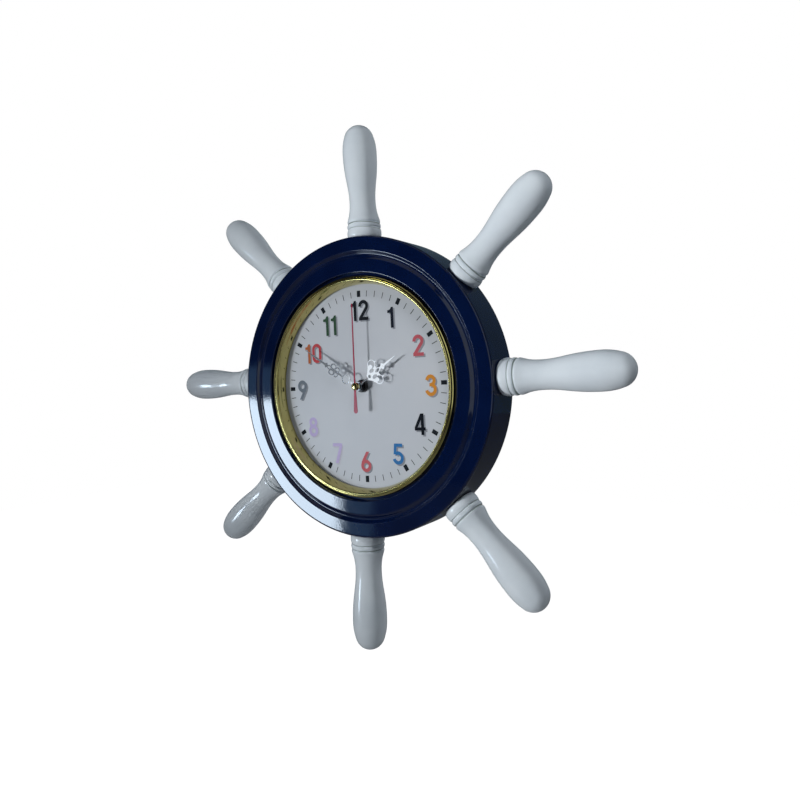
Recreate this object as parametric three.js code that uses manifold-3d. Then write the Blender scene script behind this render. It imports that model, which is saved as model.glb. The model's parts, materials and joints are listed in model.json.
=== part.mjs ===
// Ship's wheel wall clock, in millimetres.
// Y is the clock's axis: y = 0 is the wall, the viewer looks along +Y, and +Z is up.
import * as THREE from 'three';
import { mergeVertices } from 'three/addons/utils/BufferGeometryUtils.js';
import Module from 'manifold-3d';

const wasm = await Module();
wasm.setup();

// Clearances
const seatGap = 0.3; // between a turned or cut piece and what it rests on
const cardGap = 1.2; // between the bezel's wall and the dial card

// Dial
const dialSetBack = 11.2; // dial face behind the wheel's front face
const dialCardThickness = 0.5;
const dialBoardThickness = 3;
const dialBoardFit = 0.4; // between the board's edge and the hollow
const dialTurn = -2.9; // degrees clockwise: the dial sits slightly turned in the wheel
const dialHoleFit = 0.4; // around the movement's stem

// Brass bezel
const bezelOuterRadius = 93.4;
const bezelOuterBead = 2; // width of the bead that covers the rebate's inner edge
const bezelInnerBead = 2.4;
const bezelWallLean = 2.1; // how far the inner wall draws in, down to its foot
const bezelWall = 0.9;
const bezelBeadRise = 0.5; // inner bead above the wheel's front face
const bezelOuterDrop = 1.3; // outer edge of the outer bead, below the front face
const bezelFit = 0.4; // between the bezel's wall and the wood
const bezelStepRadius = bezelOuterRadius - bezelOuterBead; // fine step between its two beads
const bezelLipRadius = bezelStepRadius - bezelInnerBead;
const bezelFootRadius = bezelLipRadius - bezelWallLean; // inner wall at its foot

// Wooden wheel body, from the bezel outwards
const rebateMargin = 2.5; // bare rebate around the bezel
const rebateDepth = 4.3;
const rebateEdgeRound = 0.8;
const innerBandWidth = 11;
const innerSlopeWidth = 4.2; // S-curve from the inner band down to the groove's floor
const grooveDepth = 2.2;
const grooveFloorWidth = 0.4;
const ogeeWidth = 3.2; // S-curve from the groove's floor up to the outer band
const outerBandWidth = 12;
const frontEdgeRound = 2;
const backEdgeRound = 1;
const ledgeWidth = 9.7; // ledge in front of the dial's rim
const rebateRadius = bezelOuterRadius + rebateMargin;
const innerBandEnd = rebateRadius + innerBandWidth;
const grooveFloorInner = innerBandEnd + innerSlopeWidth;
const grooveFloorOuter = grooveFloorInner + grooveFloorWidth;
const grooveOuterRadius = grooveFloorOuter + ogeeWidth;
const wheelRadius = grooveOuterRadius + outerBandWidth;
const openingRadius = bezelLipRadius + bezelWall + bezelFit;
const recessRadius = openingRadius + ledgeWidth; // hollow in the back, which takes the dial board

// Handles and their dowels
const handleCount = 8;
const handleSkew = [-0.9, 1.7, -3.7, 1.3, 0.6, 4.7, 0.6, 0.6]; // each foot, degrees off an even spacing
const handleLean = [-2.8, -2.2, -0.3, -1.3, -2.0, -2.3, -2.7, -4.1]; // degrees off the radius through the foot
const handleLength = 99.5;
const handleEndRadius = 13;
const handleBellyRadius = 14.8;
const handleNeckRadius = 11.3;
const handleCollarRadius = 14.9;
const handleFootRadius = 13.6;
const handleRingRadius = 14.5;
const collarLength = 8;
const ringLength = 4.4;
const flareLength = 3.6;
const neckPlace = 32.5; // from the handle's foot
const bellyPlace = 75;
const dowelRadius = 5;
const dowelFit = 0.3;
const dowelInWheel = 20;
const dowelInHandle = 24;

// Screws of the dial board
const boardScrewCount = 4;
const boardScrewInset = 4.7; // from the wall of the hollow
const boardScrewCircle = recessRadius - boardScrewInset;
const boardScrewRadius = 1.4;
const boardScrewLength = 9;
const boardScrewHeadRadius = 3;
const boardScrewHead = 1.6;
const screwFit = 0.3;

// Keyhole hanger
const hangerInset = 13; // its centre, from the wall of the hollow
const hangerRadius = recessRadius + hangerInset;
const hangerWidth = 42;
const hangerHeight = 16;
const hangerThickness = 1.5;
const hangerFit = 0.3;
const keyholeRadius = 4.5;
const keySlotRadius = 2.2;
const keySlotLength = 5.5;
const keyholeDrop = 2; // entrance centre below the plate's centre
const nailRoomDepth = 8;
const nailRoomMargin = 0.6;
const hangerScrewSpacing = 33;
const hangerScrewRadius = 1.5;
const hangerScrewHeadRadius = 3;
const hangerScrewLength = 10;

// Toothed train: numbers of teeth and distances between arbors
const toothTip = 0.2; // width of a tooth's tip, as a share of the pitch
const addendum = 0.5; // in modules
const dedendum = 1.3; // in modules
const rotorTeeth = 6;
const intermediateTeeth = 36;
const intermediatePinionTeeth = 6;
const secondTeeth = 30;
const secondPinionTeeth = 6;
const thirdTeeth = 48;
const thirdPinionTeeth = 6;
const centreTeeth = 45;
const cannonTeeth = 12;
const motionTeeth = 36;
const motionPinionTeeth = 8;
const hourTeeth = 32;
const knobPinionTeeth = 12;
const rotorDistance = 7.56; // rotor to intermediate arbor
const intermediateDistance = 8.4; // intermediate arbor to centre
const thirdDistance = 10.8; // third arbor to centre
const motionDistance = 8.64; // motion wheel to centre
const thirdDirection = 90; // degrees clockwise from twelve
const intermediateDirection = -60;
const rotorDirection = -60;
const motionDirection = 0;
const knobDirection = 60;

const centre = [0, 0];
const thirdPlace = clockPoint(thirdDistance, thirdDirection);
const intermediatePlace = clockPoint(intermediateDistance, intermediateDirection);
const rotorPlace = clockPoint(rotorDistance, rotorDirection, intermediatePlace);
const motionPlace = clockPoint(motionDistance, motionDirection);
const knobPlace = clockPoint(motionDistance, knobDirection, motionPlace);

// Rotor, coil and circuit
const magnetRadius = 3;
const statorThickness = 0.8;
const statorBore = 3.5;
const statorWall = 1.6; // around the rotor
const statorRise = 10; // above the rotor
const statorDrop = 15; // below the rotor
const statorArm = 4.5;
const coilOffset = 8.17; // coil's axis, to the left of the rotor
const coilFlangeRadius = 3.6;
const coilFlange = 0.8;
const windingRadius = 3.2;
const bobbinRadius = 1.6;
const bobbinBore = 1.15;
const windingFit = 0.3;
const coreWidth = 1.6;
const boardWidth = 26;
const boardHeight = 9;
const boardThickness = 0.8;
const boardLevel = 12.6;
const crystalRadius = 1.4;
const crystalLength = 7;
const coilPlace = rotorPlace[0] - coilOffset;
const statorLeft = coilPlace - statorArm;

// AA cell and its contacts
const cellRadius = 7.1;
const cellLength = 48.5;
const cellNubRadius = 2.7;
const cellNubLength = 1.4;
const cellFit = 0.3;
const contactRoom = 1.85; // least room from each end of the cell to the case's wall
const contactThickness = 0.4;
const contactWidth = 9;
const contactBow = 0.5;

// Movement: the case is made around the cell and the train
const washerThickness = 1;
const washerRadius = 11;
const caseCorner = 3;
const caseWall = 1.2;
const cellWindowReach = 0.9; // the cell stands in the cover's window
const coverThickness = 1.2;
const stemRadius = 4;
const stemBore = 2.9;
const stemEnd = 1.6; // stem beyond its nut
const stemNutRadius = 5.4;
const stemNutThickness = 3;
const stemNutFit = 0.3;
const bayFit = 0.4; // between the cell and the wall above it
const bayDividerWall = 1;
const plateThickness = 0.7;
const plateFit = 0.3;
const pivotRadius = 0.5;
const pivotFit = 0.3;
const bossWall = 0.9;
const caseInside = Math.max((cellLength + cellNubLength) / 2 + contactRoom, plateFit - statorLeft);
const caseWidth = 2 * (caseInside + caseWall);
const caseDepth = caseWall + cellFit + 2 * cellRadius - cellWindowReach; // up to the cover
const bayDividerPlace = -caseInside + cellFit + 2 * cellRadius + bayFit + bayDividerWall;
const stemReach = stemNutThickness + stemEnd; // in front of the dial

// Levels inside the movement, measured back from the case's front face
const wheelThickness = 0.9;
const pinionOverhang = 0.15; // a pinion is longer than its mate is thick, at each end
const wheelGap = 0.4; // between neighbours
const pinionGap = 0.5; // where a pinion's end stands between them
const statorSetBack = 0.2; // behind the magnet's front
const magnetThickness = 1.8;
const magnetGap = 0.4; // behind the magnet
const rearPivotEnd = 0.8; // arbors end short of the cover by this much
const hourLevel = caseWall + wheelGap;
const motionLevel = hourLevel + wheelThickness + wheelGap;
const centreLevel = motionLevel + wheelThickness + pinionGap;
const plateLevel = centreLevel + wheelThickness + wheelGap;
const thirdLevel = plateLevel + plateThickness + wheelGap;
const secondLevel = thirdLevel + wheelThickness + pinionGap;
const intermediateLevel = secondLevel + wheelThickness + wheelGap;
const magnetLevel = intermediateLevel + wheelThickness + pinionGap;
const statorLevel = magnetLevel + statorSetBack;
const rearPivotLevel = caseDepth - rearPivotEnd;
const bossReach = caseDepth - magnetLevel - magnetThickness - magnetGap; // bearings behind the train

// Arbors and tubes
const secondArborRadius = 0.6;
const minuteTubeBore = 0.95;
const minuteTubeRadius = 1.7;
const hourTubeBore = 2;
const hourTubeRadius = 2.55;
const tubeEnd = 0.4; // a tube or arbor beyond the hand that it carries
const centreWheelFit = 0.3;
const motionPostRadius = 0.5;
const motionPostFit = 0.3;
const knobRadius = 6;
const knobThickness = 2.4;
const knobRibs = 18;
const knobRibDepth = 0.5;
const knobShaftRadius = 1.2;
const knobShaftFit = 0.35;
const knobStandOff = 0.3; // knob clear of the cover
const wallClearance = 2.3; // between the knob and the wall

// Hands
const handThickness = 0.45;
const hourHandClearance = 2.65; // behind the hour hand
const minuteHandClearance = 1.15;
const secondHandClearance = 0.35;
const hourHandLength = 45.7;
const hourHandTurn = 58.9; // degrees clockwise from the dial's twelve
const hourHubRadius = 3.7;
const minuteHandLength = 64;
const minuteHandTurn = -57.8;
const minuteHubRadius = 3.3;
const minuteNutRadius = 3.3;
const minuteNutThickness = 1;
const minuteNutSeat = 0.1; // the minute tube ends this far in front of the nut
const secondHandLength = 70;
const secondHandTail = 22.7;
const secondHandTurn = 0.6;
const secondHandTipWidth = 0.8;
const secondHandWaist = 1.5;
const secondHandTailWidth = 3.8;
const bossRadius = 3.1;
const bossBack = 0.3; // boss behind the red hand
const bossDome = 1.1; // boss in front of the red hand
const handFit = 0.3;

// Heights of the hands' front faces and of the tubes' ends in front of the dial
const hourHandHeight = stemReach + hourHandClearance + handThickness;
const hourTubeReach = hourHandHeight + tubeEnd;
const minuteHandHeight = hourTubeReach + minuteHandClearance + handThickness;
const minuteTubeReach = minuteHandHeight + minuteNutThickness + minuteNutSeat;
const secondHandHeight = minuteTubeReach + secondHandClearance + bossBack + handThickness;
const secondArborReach = secondHandHeight + tubeEnd;

// Facets around one turn
const wheelFacets = 60;
const handleFacets = 14;
const tubeFacets = 16;
const pinFacets = 10;

// Places along the clock's axis
const wheelDepth = dialSetBack + dialCardThickness + dialBoardThickness + washerThickness + caseDepth
  + coverThickness + knobStandOff + knobThickness + wallClearance;
const frontFace = -wheelDepth;
const dialFace = frontFace + dialSetBack;
const boardFace = dialFace + dialCardThickness;
const boardBack = boardFace + dialBoardThickness;
const movementFace = boardBack + washerThickness;
const coverFace = movementFace + caseDepth;
const movementBack = coverFace + coverThickness;
const handlePlane = -wheelDepth / 2;

// Colours and finishes
const navyPaint = { color: 0x0a1030, roughness: 0.2, metalness: 0 };
const whitePaint = { color: 0xc9ced2, roughness: 0.25, metalness: 0 };
const brass = { color: 0xc8b560, roughness: 0.2, metalness: 1 };
const card = { color: 0xc4c8cc, roughness: 0.45, metalness: 0 };
const hardboard = { color: 0x8a6a48, roughness: 0.8, metalness: 0 };
const beech = { color: 0xc9a878, roughness: 0.7, metalness: 0 };
const blackPlastic = { color: 0x0c0c0e, roughness: 0.4, metalness: 0 };
const whitePlastic = { color: 0xe6e6e0, roughness: 0.4, metalness: 0 };
const greyPlastic = { color: 0x8c9094, roughness: 0.45, metalness: 0 };
const steel = { color: 0xb8bcc0, roughness: 0.3, metalness: 1 };
const silver = { color: 0xe8ecf2, roughness: 0.2, metalness: 1 };
const redLacquer = { color: 0xb02848, roughness: 0.35, metalness: 0 };
const rubber = { color: 0x151515, roughness: 0.8, metalness: 0 };
const copper = { color: 0xb8643a, roughness: 0.35, metalness: 1 };
const boardGreen = { color: 0x1f5a3a, roughness: 0.5, metalness: 0 };
const cellJacket = { color: 0x2c4a6e, roughness: 0.35, metalness: 0 };

const clock = new THREE.Group();
const dialGroup = new THREE.Group(); // the dial and all behind it sit slightly turned
dialGroup.rotation.y = THREE.MathUtils.degToRad(dialTurn);
clock.add(dialGroup);

// Small tools

function radians(degrees) {
  return THREE.MathUtils.degToRad(degrees);
}

function addPiece(name, geometry, finish, parent = clock) {
  const piece = new THREE.Mesh(geometry, new THREE.MeshStandardMaterial(finish));
  piece.name = name;
  parent.add(piece);
  return piece;
}

// A point at a distance and a clockwise direction from the centre, as [x, z]
function clockPoint(distance, direction, from = [0, 0]) {
  const angle = radians(direction);
  return [from[0] + distance * Math.sin(angle), from[1] + distance * Math.cos(angle)];
}

// A closed solid turned about Y from a closed outline of [radius, y], listed with the solid on its left
function turned(outline, facets) {
  const points = outline.map(([radius, y]) => new THREE.Vector2(radius, y));
  return new THREE.LatheGeometry([...points, points[0]], facets);
}

function rod(radius, from, to, facets = pinFacets) {
  return turned([[0, from], [radius, from], [radius, to], [0, to]], facets);
}

function tube(bore, radius, from, to, facets = tubeFacets) {
  return turned([[bore, from], [radius, from], [radius, to], [bore, to]], facets);
}

// A flat plate cut from an outline in the dial's plane: its front face at y = front
function plate(shape, front, thickness, curveSteps = 6) {
  const settings = { depth: thickness, bevelEnabled: false, curveSegments: curveSteps };
  const geometry = new THREE.ExtrudeGeometry(shape, settings);
  geometry.rotateX(Math.PI / 2);
  return geometry.translate(0, front + thickness, 0);
}

function box(x, y, z) {
  const geometry = new THREE.BoxGeometry(x[1] - x[0], y[1] - y[0], z[1] - z[0]);
  return geometry.translate((x[0] + x[1]) / 2, (y[0] + y[1]) / 2, (z[0] + z[1]) / 2);
}

function shifted(geometry, [x, z], y = 0) {
  return geometry.translate(x, y, z);
}

// Geometry to solid and back, for cuts and joins
function solidOf(geometry) {
  const bare = new THREE.BufferGeometry();
  bare.setAttribute('position', geometry.getAttribute('position'));
  bare.setIndex(geometry.getIndex());
  const merged = mergeVertices(bare, 1e-5);
  const corners = merged.index.array;
  const kept = [];
  for (let i = 0; i < corners.length; i += 3) {
    const [a, b, c] = corners.slice(i, i + 3);
    if (a !== b && b !== c && c !== a) kept.push(a, b, c);
  }
  return new wasm.Manifold(new wasm.Mesh({
    numProp: 3,
    vertProperties: merged.attributes.position.array,
    triVerts: new Uint32Array(kept),
  }));
}

function geometryOf(solid) {
  const mesh = solid.getMesh();
  const geometry = new THREE.BufferGeometry();
  geometry.setAttribute('position', new THREE.BufferAttribute(mesh.vertProperties, 3));
  geometry.setIndex(new THREE.BufferAttribute(mesh.triVerts, 1));
  geometry.computeVertexNormals();
  return geometry;
}

function joined(...geometries) {
  return geometryOf(geometries.map(solidOf).reduce((whole, more) => whole.add(more)));
}

function cut(geometry, ...cutters) {
  return geometryOf(cutters.map(solidOf).reduce((whole, less) => whole.subtract(less), solidOf(geometry)));
}

// Points of a rounded stretch in an outline of [radius, y]
function quarterRound(centre, radius, fromDegrees, toDegrees, steps) {
  const points = [];
  for (let i = 0; i <= steps; i += 1) {
    const angle = radians(fromDegrees + ((toDegrees - fromDegrees) * i) / steps);
    points.push([centre[0] + radius * Math.cos(angle), centre[1] + radius * Math.sin(angle)]);
  }
  return points;
}

// Wooden wheel body

// An S-curve outwards from one radius and depth below the front face to another
function ogee(fromRadius, fromDepth, toRadius, toDepth, steps) {
  const points = [];
  for (let i = 0; i <= steps; i += 1) {
    const share = i / steps;
    const fall = (1 - Math.cos(Math.PI * share)) / 2;
    const radius = fromRadius + (toRadius - fromRadius) * share;
    points.push([radius, frontFace + fromDepth + (toDepth - fromDepth) * fall]);
  }
  return points;
}

function wheelOutline() {
  return [
    [openingRadius, dialFace],
    [openingRadius, frontFace + rebateDepth],
    [rebateRadius, frontFace + rebateDepth],
    ...quarterRound([rebateRadius + rebateEdgeRound, frontFace + rebateEdgeRound], rebateEdgeRound, 180, 270, 1),
    ...ogee(innerBandEnd, 0, grooveFloorInner, grooveDepth, 4),
    ...ogee(grooveFloorOuter, grooveDepth, grooveOuterRadius, 0, 4),
    ...quarterRound([wheelRadius - frontEdgeRound, frontFace + frontEdgeRound], frontEdgeRound, 270, 360, 2),
    ...quarterRound([wheelRadius - backEdgeRound, -backEdgeRound], backEdgeRound, 0, 90, 1),
    [recessRadius, 0],
    [recessRadius, dialFace],
  ];
}

function handleAngle(index) {
  return (360 / handleCount) * index + (handleSkew[index] ?? 0);
}

function leanAngle(index) {
  return handleLean[index] ?? 0;
}

// Distance of a leaning handle's foot from the clock's axis, at which its edge just clears the wheel
function footDistance(index) {
  return (wheelRadius + seatGap) / Math.cos(radians(leanAngle(index)));
}

// The hole for a handle's dowel
function dowelHole(index) {
  const cutter = rod(dowelRadius + dowelFit, -dowelInWheel - 2 * seatGap, 5, tubeFacets);
  cutter.rotateX(Math.PI / 2);
  cutter.rotateY(radians(leanAngle(index)));
  cutter.translate(0, handlePlane, footDistance(index));
  return cutter.rotateY(radians(handleAngle(index)));
}

function boardScrewPlace(index) {
  return clockPoint(boardScrewCircle, (360 / boardScrewCount) * (index + 0.5));
}

function roundedSlot(width, height, centre) {
  const half = (width - height) / 2;
  const shape = new THREE.Shape();
  shape.absarc(centre[0] + half, centre[1], height / 2, -Math.PI / 2, Math.PI / 2, false);
  shape.absarc(centre[0] - half, centre[1], height / 2, Math.PI / 2, (3 * Math.PI) / 2, false);
  return shape;
}

function nailRoom() {
  const half = keyholeRadius + nailRoomMargin;
  const entrance = hangerRadius - keyholeDrop;
  const top = entrance + keySlotLength + keySlotRadius + nailRoomMargin;
  return box([-half, half], [-nailRoomDepth, 1], [entrance - half, top]);
}

function makeWheel() {
  const cutters = [];
  for (let i = 0; i < handleCount; i += 1) {
    cutters.push(dowelHole(i));
  }
  for (let i = 0; i < boardScrewCount; i += 1) {
    const depth = boardScrewLength - dialBoardThickness - dialCardThickness + seatGap;
    const hole = rod(boardScrewRadius + screwFit, dialFace - depth, dialFace + 1);
    hole.rotateY(radians(-dialTurn));
    cutters.push(shifted(hole, boardScrewPlace(i)).rotateY(radians(dialTurn)));
  }
  const plateRoom = roundedSlot(hangerWidth + 2 * hangerFit, hangerHeight + 2 * hangerFit, [0, hangerRadius]);
  cutters.push(plate(plateRoom, -hangerThickness - hangerFit, hangerThickness + 1));
  cutters.push(nailRoom());
  for (const side of [-1, 1]) {
    const hole = rod(hangerScrewRadius + screwFit, -hangerScrewLength - seatGap, 1);
    cutters.push(shifted(hole, [(side * hangerScrewSpacing) / 2, hangerRadius]));
  }
  addPiece('wheel_body', cut(turned(wheelOutline(), wheelFacets), ...cutters), navyPaint);
}

// Handles

function curvePoints(curve, steps) {
  return curve.getPoints(steps).map((point) => [point.x, point.y]);
}

function bead(from, to, endRadius, crownRadius) {
  const start = new THREE.Vector2(endRadius, from);
  const crown = new THREE.Vector2(2 * crownRadius - endRadius, (from + to) / 2);
  const end = new THREE.Vector2(endRadius, to);
  return curvePoints(new THREE.QuadraticBezierCurve(start, crown, end), 2);
}

// Outline of one handle, foot at y = 0, tip at y = handleLength
function handleOutline() {
  const ringStart = collarLength + 0.5;
  const flareStart = ringStart + ringLength;
  const flareEnd = flareStart + flareLength;
  const endCentre = handleLength - handleEndRadius;
  const meetAngle = 12;
  const meet = quarterRound([0, endCentre], handleEndRadius, meetAngle, 90, 3);
  const waist = new THREE.CubicBezierCurve(
    new THREE.Vector2(handleRingRadius - 0.4, flareEnd),
    new THREE.Vector2(handleRingRadius - 1.4, flareEnd + 5),
    new THREE.Vector2(handleNeckRadius, neckPlace - 8),
    new THREE.Vector2(handleNeckRadius, neckPlace),
  );
  const swell = new THREE.CubicBezierCurve(
    new THREE.Vector2(handleNeckRadius, neckPlace),
    new THREE.Vector2(handleNeckRadius, neckPlace + 15),
    new THREE.Vector2(handleBellyRadius, bellyPlace - 22),
    new THREE.Vector2(handleBellyRadius, bellyPlace),
  );
  const shoulder = new THREE.QuadraticBezierCurve(
    new THREE.Vector2(handleBellyRadius, bellyPlace),
    new THREE.Vector2(handleBellyRadius, bellyPlace + 8),
    new THREE.Vector2(...meet[0]),
  );
  return [
    [0, 0],
    ...bead(0, collarLength, handleFootRadius, handleCollarRadius),
    ...bead(ringStart, flareStart, handleRingRadius - 0.7, handleRingRadius),
    ...curvePoints(waist, 3),
    ...curvePoints(swell, 3).slice(1),
    ...curvePoints(shoulder, 2).slice(1),
    ...meet.slice(1),
  ];
}

function makeHandles() {
  const bore = rod(dowelRadius + dowelFit, -1, dowelInHandle + 2 * seatGap, tubeFacets);
  const handle = cut(turned(handleOutline(), handleFacets), bore);
  const dowel = rod(dowelRadius, -dowelInWheel, dowelInHandle + seatGap, tubeFacets);
  for (let i = 0; i < handleCount; i += 1) {
    const spoke = new THREE.Group();
    spoke.rotation.y = radians(handleAngle(i));
    clock.add(spoke);
    const seat = new THREE.Group();
    seat.position.set(0, handlePlane, footDistance(i));
    seat.rotation.y = radians(leanAngle(i));
    spoke.add(seat);
    const turnedHandle = addPiece(`handle_${i + 1}`, handle, whitePaint, seat);
    const pin = addPiece(`handle_dowel_${i + 1}`, dowel, beech, seat);
    for (const piece of [turnedHandle, pin]) {
      piece.rotation.x = Math.PI / 2;
    }
    pin.position.z = -seatGap;
  }
}

// Bezel, dial card and dial board

function bezelOutline() {
  const seat = frontFace + rebateDepth;
  const foot = dialFace - cardGap;
  const crown = frontFace - bezelBeadRise;
  const beadRadius = (bezelStepRadius - bezelLipRadius) / 2;
  const beadCentre = [bezelLipRadius + beadRadius, crown + beadRadius];
  const outerRadius = bezelOuterRadius - bezelStepRadius;
  const outerCentre = [bezelStepRadius, frontFace + bezelOuterDrop];
  const outerBead = [];
  for (const [x, y] of quarterRound([0, 0], 1, 270, 360, 3)) {
    outerBead.push([outerCentre[0] + x * outerRadius, outerCentre[1] + y * bezelOuterDrop]);
  }
  return [
    [bezelFootRadius, foot],
    ...quarterRound(beadCentre, beadRadius, 180, 330, 4),
    ...outerBead,
    [bezelOuterRadius, seat],
    [bezelLipRadius + bezelWall, seat],
    [bezelFootRadius + bezelWall, foot],
  ];
}

function makeDial() {
  addPiece('bezel', turned(bezelOutline(), wheelFacets), brass);
  const discRadius = recessRadius - dialBoardFit;
  const stemHole = rod(stemRadius + dialHoleFit, dialFace - 1, boardBack + 1, tubeFacets);
  const screwHoles = [];
  for (let i = 0; i < boardScrewCount; i += 1) {
    screwHoles.push(shifted(rod(boardScrewRadius + screwFit, dialFace - 1, boardBack + 1), boardScrewPlace(i)));
  }
  const cardDisc = rod(discRadius, dialFace, boardFace, wheelFacets);
  const boardDisc = rod(discRadius, boardFace, boardBack, wheelFacets);
  addPiece('dial_card', cut(cardDisc, stemHole, ...screwHoles), card, dialGroup);
  addPiece('dial_board', cut(boardDisc, stemHole, ...screwHoles), hardboard, dialGroup);
  const screw = turned([
    [0, boardBack - boardScrewLength],
    [boardScrewRadius, boardBack - boardScrewLength + boardScrewRadius],
    [boardScrewRadius, boardBack],
    [boardScrewHeadRadius, boardBack],
    [boardScrewHeadRadius * 0.8, boardBack + boardScrewHead],
    [0, boardBack + boardScrewHead],
  ], pinFacets);
  for (let i = 0; i < boardScrewCount; i += 1) {
    const [x, z] = boardScrewPlace(i);
    addPiece(`board_screw_${i + 1}`, screw, steel, dialGroup).position.set(x, 0, z);
  }
}

// Keyhole hanger on the back of the wheel

function makeHanger() {
  const shape = roundedSlot(hangerWidth, hangerHeight, [0, 0]);
  const keyhole = new THREE.Path();
  const side = Math.asin(keySlotRadius / keyholeRadius);
  const slotTop = keySlotLength - keyholeDrop;
  keyhole.absarc(0, -keyholeDrop, keyholeRadius, Math.PI / 2 + side, Math.PI / 2 - side + 2 * Math.PI, false);
  keyhole.absarc(0, slotTop, keySlotRadius, 0, Math.PI, false);
  shape.holes.push(keyhole);
  const holes = [];
  const grip = hangerScrewHeadRadius - hangerScrewRadius;
  const place = (index) => [(index - 0.5) * hangerScrewSpacing, 0];
  for (const index of [0, 1]) {
    const sink = turned([
      [0, -hangerThickness - 1],
      [hangerScrewRadius + screwFit, -hangerThickness - 1],
      [hangerScrewRadius + screwFit, -hangerThickness],
      [hangerScrewHeadRadius + screwFit, -hangerThickness + grip],
      [hangerScrewHeadRadius + screwFit, 1],
      [0, 1],
    ], tubeFacets);
    holes.push(shifted(sink, place(index)));
  }
  const hangerPlate = cut(plate(shape, -hangerThickness, hangerThickness, 10), ...holes);
  addPiece('hanger_plate', hangerPlate, steel).position.set(0, 0, hangerRadius);
  const screw = turned([
    [0, -hangerScrewLength],
    [hangerScrewRadius, -hangerScrewLength + 2 * hangerScrewRadius],
    [hangerScrewRadius, -hangerThickness],
    [hangerScrewHeadRadius, -hangerThickness + grip],
    [0, -hangerThickness + grip],
  ], tubeFacets);
  for (const index of [0, 1]) {
    const [x] = place(index);
    addPiece(`hanger_screw_${index + 1}`, screw, steel).position.set(x, 0, hangerRadius);
  }
}

// Toothed wheels

// Phase of a follower's first tooth, so that it stands in a gap of the wheel that drives it
function matingPhase(phase, teeth, direction, mateTeeth) {
  return direction + Math.PI - ((phase - direction) * teeth + Math.PI) / mateTeeth;
}

function toothedShape(teeth, distance, mateTeeth, phase) {
  const module = (2 * distance) / (teeth + mateTeeth);
  const pitchRadius = (module * teeth) / 2;
  const pitch = (2 * Math.PI) / teeth;
  const points = [];
  const addPoint = (radius, angle) => {
    points.push(new THREE.Vector2(radius * Math.cos(angle), radius * Math.sin(angle)));
  };
  for (let tooth = 0; tooth < teeth; tooth += 1) {
    const middle = phase + tooth * pitch;
    addPoint(pitchRadius + addendum * module, middle - (toothTip * pitch) / 2);
    addPoint(pitchRadius + addendum * module, middle + (toothTip * pitch) / 2);
    addPoint(pitchRadius - dedendum * module, middle + pitch / 2);
  }
  return new THREE.Shape(points);
}

function toothedWheel(teeth, distance, mateTeeth, phase, level, thickness = wheelThickness) {
  return plate(toothedShape(teeth, distance, mateTeeth, phase), movementFace + level, thickness);
}

function pinion(teeth, distance, mateTeeth, phase, level) {
  const length = wheelThickness + 2 * pinionOverhang;
  return toothedWheel(teeth, distance, mateTeeth, phase, level - pinionOverhang, length);
}

function directionOf(from, to) {
  return Math.atan2(to[1] - from[1], to[0] - from[0]);
}

function makeGoingTrain() {
  const toIntermediate = directionOf(centre, intermediatePlace);
  const toThird = directionOf(centre, thirdPlace);
  const toRotor = directionOf(intermediatePlace, rotorPlace);
  const rear = movementFace + rearPivotLevel;

  const intermediatePhase = matingPhase(0, secondTeeth, toIntermediate, intermediatePinionTeeth);
  const rotorPhase = matingPhase(0, intermediateTeeth, toRotor, rotorTeeth);
  const thirdPhase = matingPhase(0, secondPinionTeeth, toThird, thirdTeeth);
  const centrePhase = matingPhase(0, thirdPinionTeeth, toThird + Math.PI, centreTeeth);

  addPiece('second_wheel', joined(
    rod(secondArborRadius, dialFace - secondArborReach, rear),
    toothedWheel(secondTeeth, intermediateDistance, intermediatePinionTeeth, 0, secondLevel),
    pinion(secondPinionTeeth, thirdDistance, thirdTeeth, 0, thirdLevel),
  ), whitePlastic, dialGroup);

  const intermediate = joined(
    rod(pivotRadius, movementFace + plateLevel + 0.1, rear),
    pinion(intermediatePinionTeeth, intermediateDistance, secondTeeth, intermediatePhase, secondLevel),
    toothedWheel(intermediateTeeth, rotorDistance, rotorTeeth, 0, intermediateLevel),
  );
  addPiece('intermediate_wheel', shifted(intermediate, intermediatePlace), whitePlastic, dialGroup);

  const magnetFront = movementFace + magnetLevel;
  const rotor = joined(
    rod(pivotRadius, movementFace + plateLevel + 0.1, rear),
    pinion(rotorTeeth, rotorDistance, intermediateTeeth, rotorPhase, intermediateLevel),
    rod(magnetRadius, magnetFront, magnetFront + magnetThickness, tubeFacets),
  );
  addPiece('rotor', shifted(rotor, rotorPlace), greyPlastic, dialGroup);

  const third = joined(
    rod(pivotRadius, movementFace + seatGap, rear),
    toothedWheel(thirdTeeth, thirdDistance, secondPinionTeeth, thirdPhase, thirdLevel),
    pinion(thirdPinionTeeth, thirdDistance, centreTeeth, 0, centreLevel),
  );
  addPiece('third_wheel', shifted(third, thirdPlace), whitePlastic, dialGroup);

  const centreWheel = cut(
    toothedWheel(centreTeeth, thirdDistance, thirdPinionTeeth, centrePhase, centreLevel),
    rod(minuteTubeRadius + centreWheelFit, movementFace, coverFace, tubeFacets),
  );
  addPiece('centre_wheel', centreWheel, whitePlastic, dialGroup);
}

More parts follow.
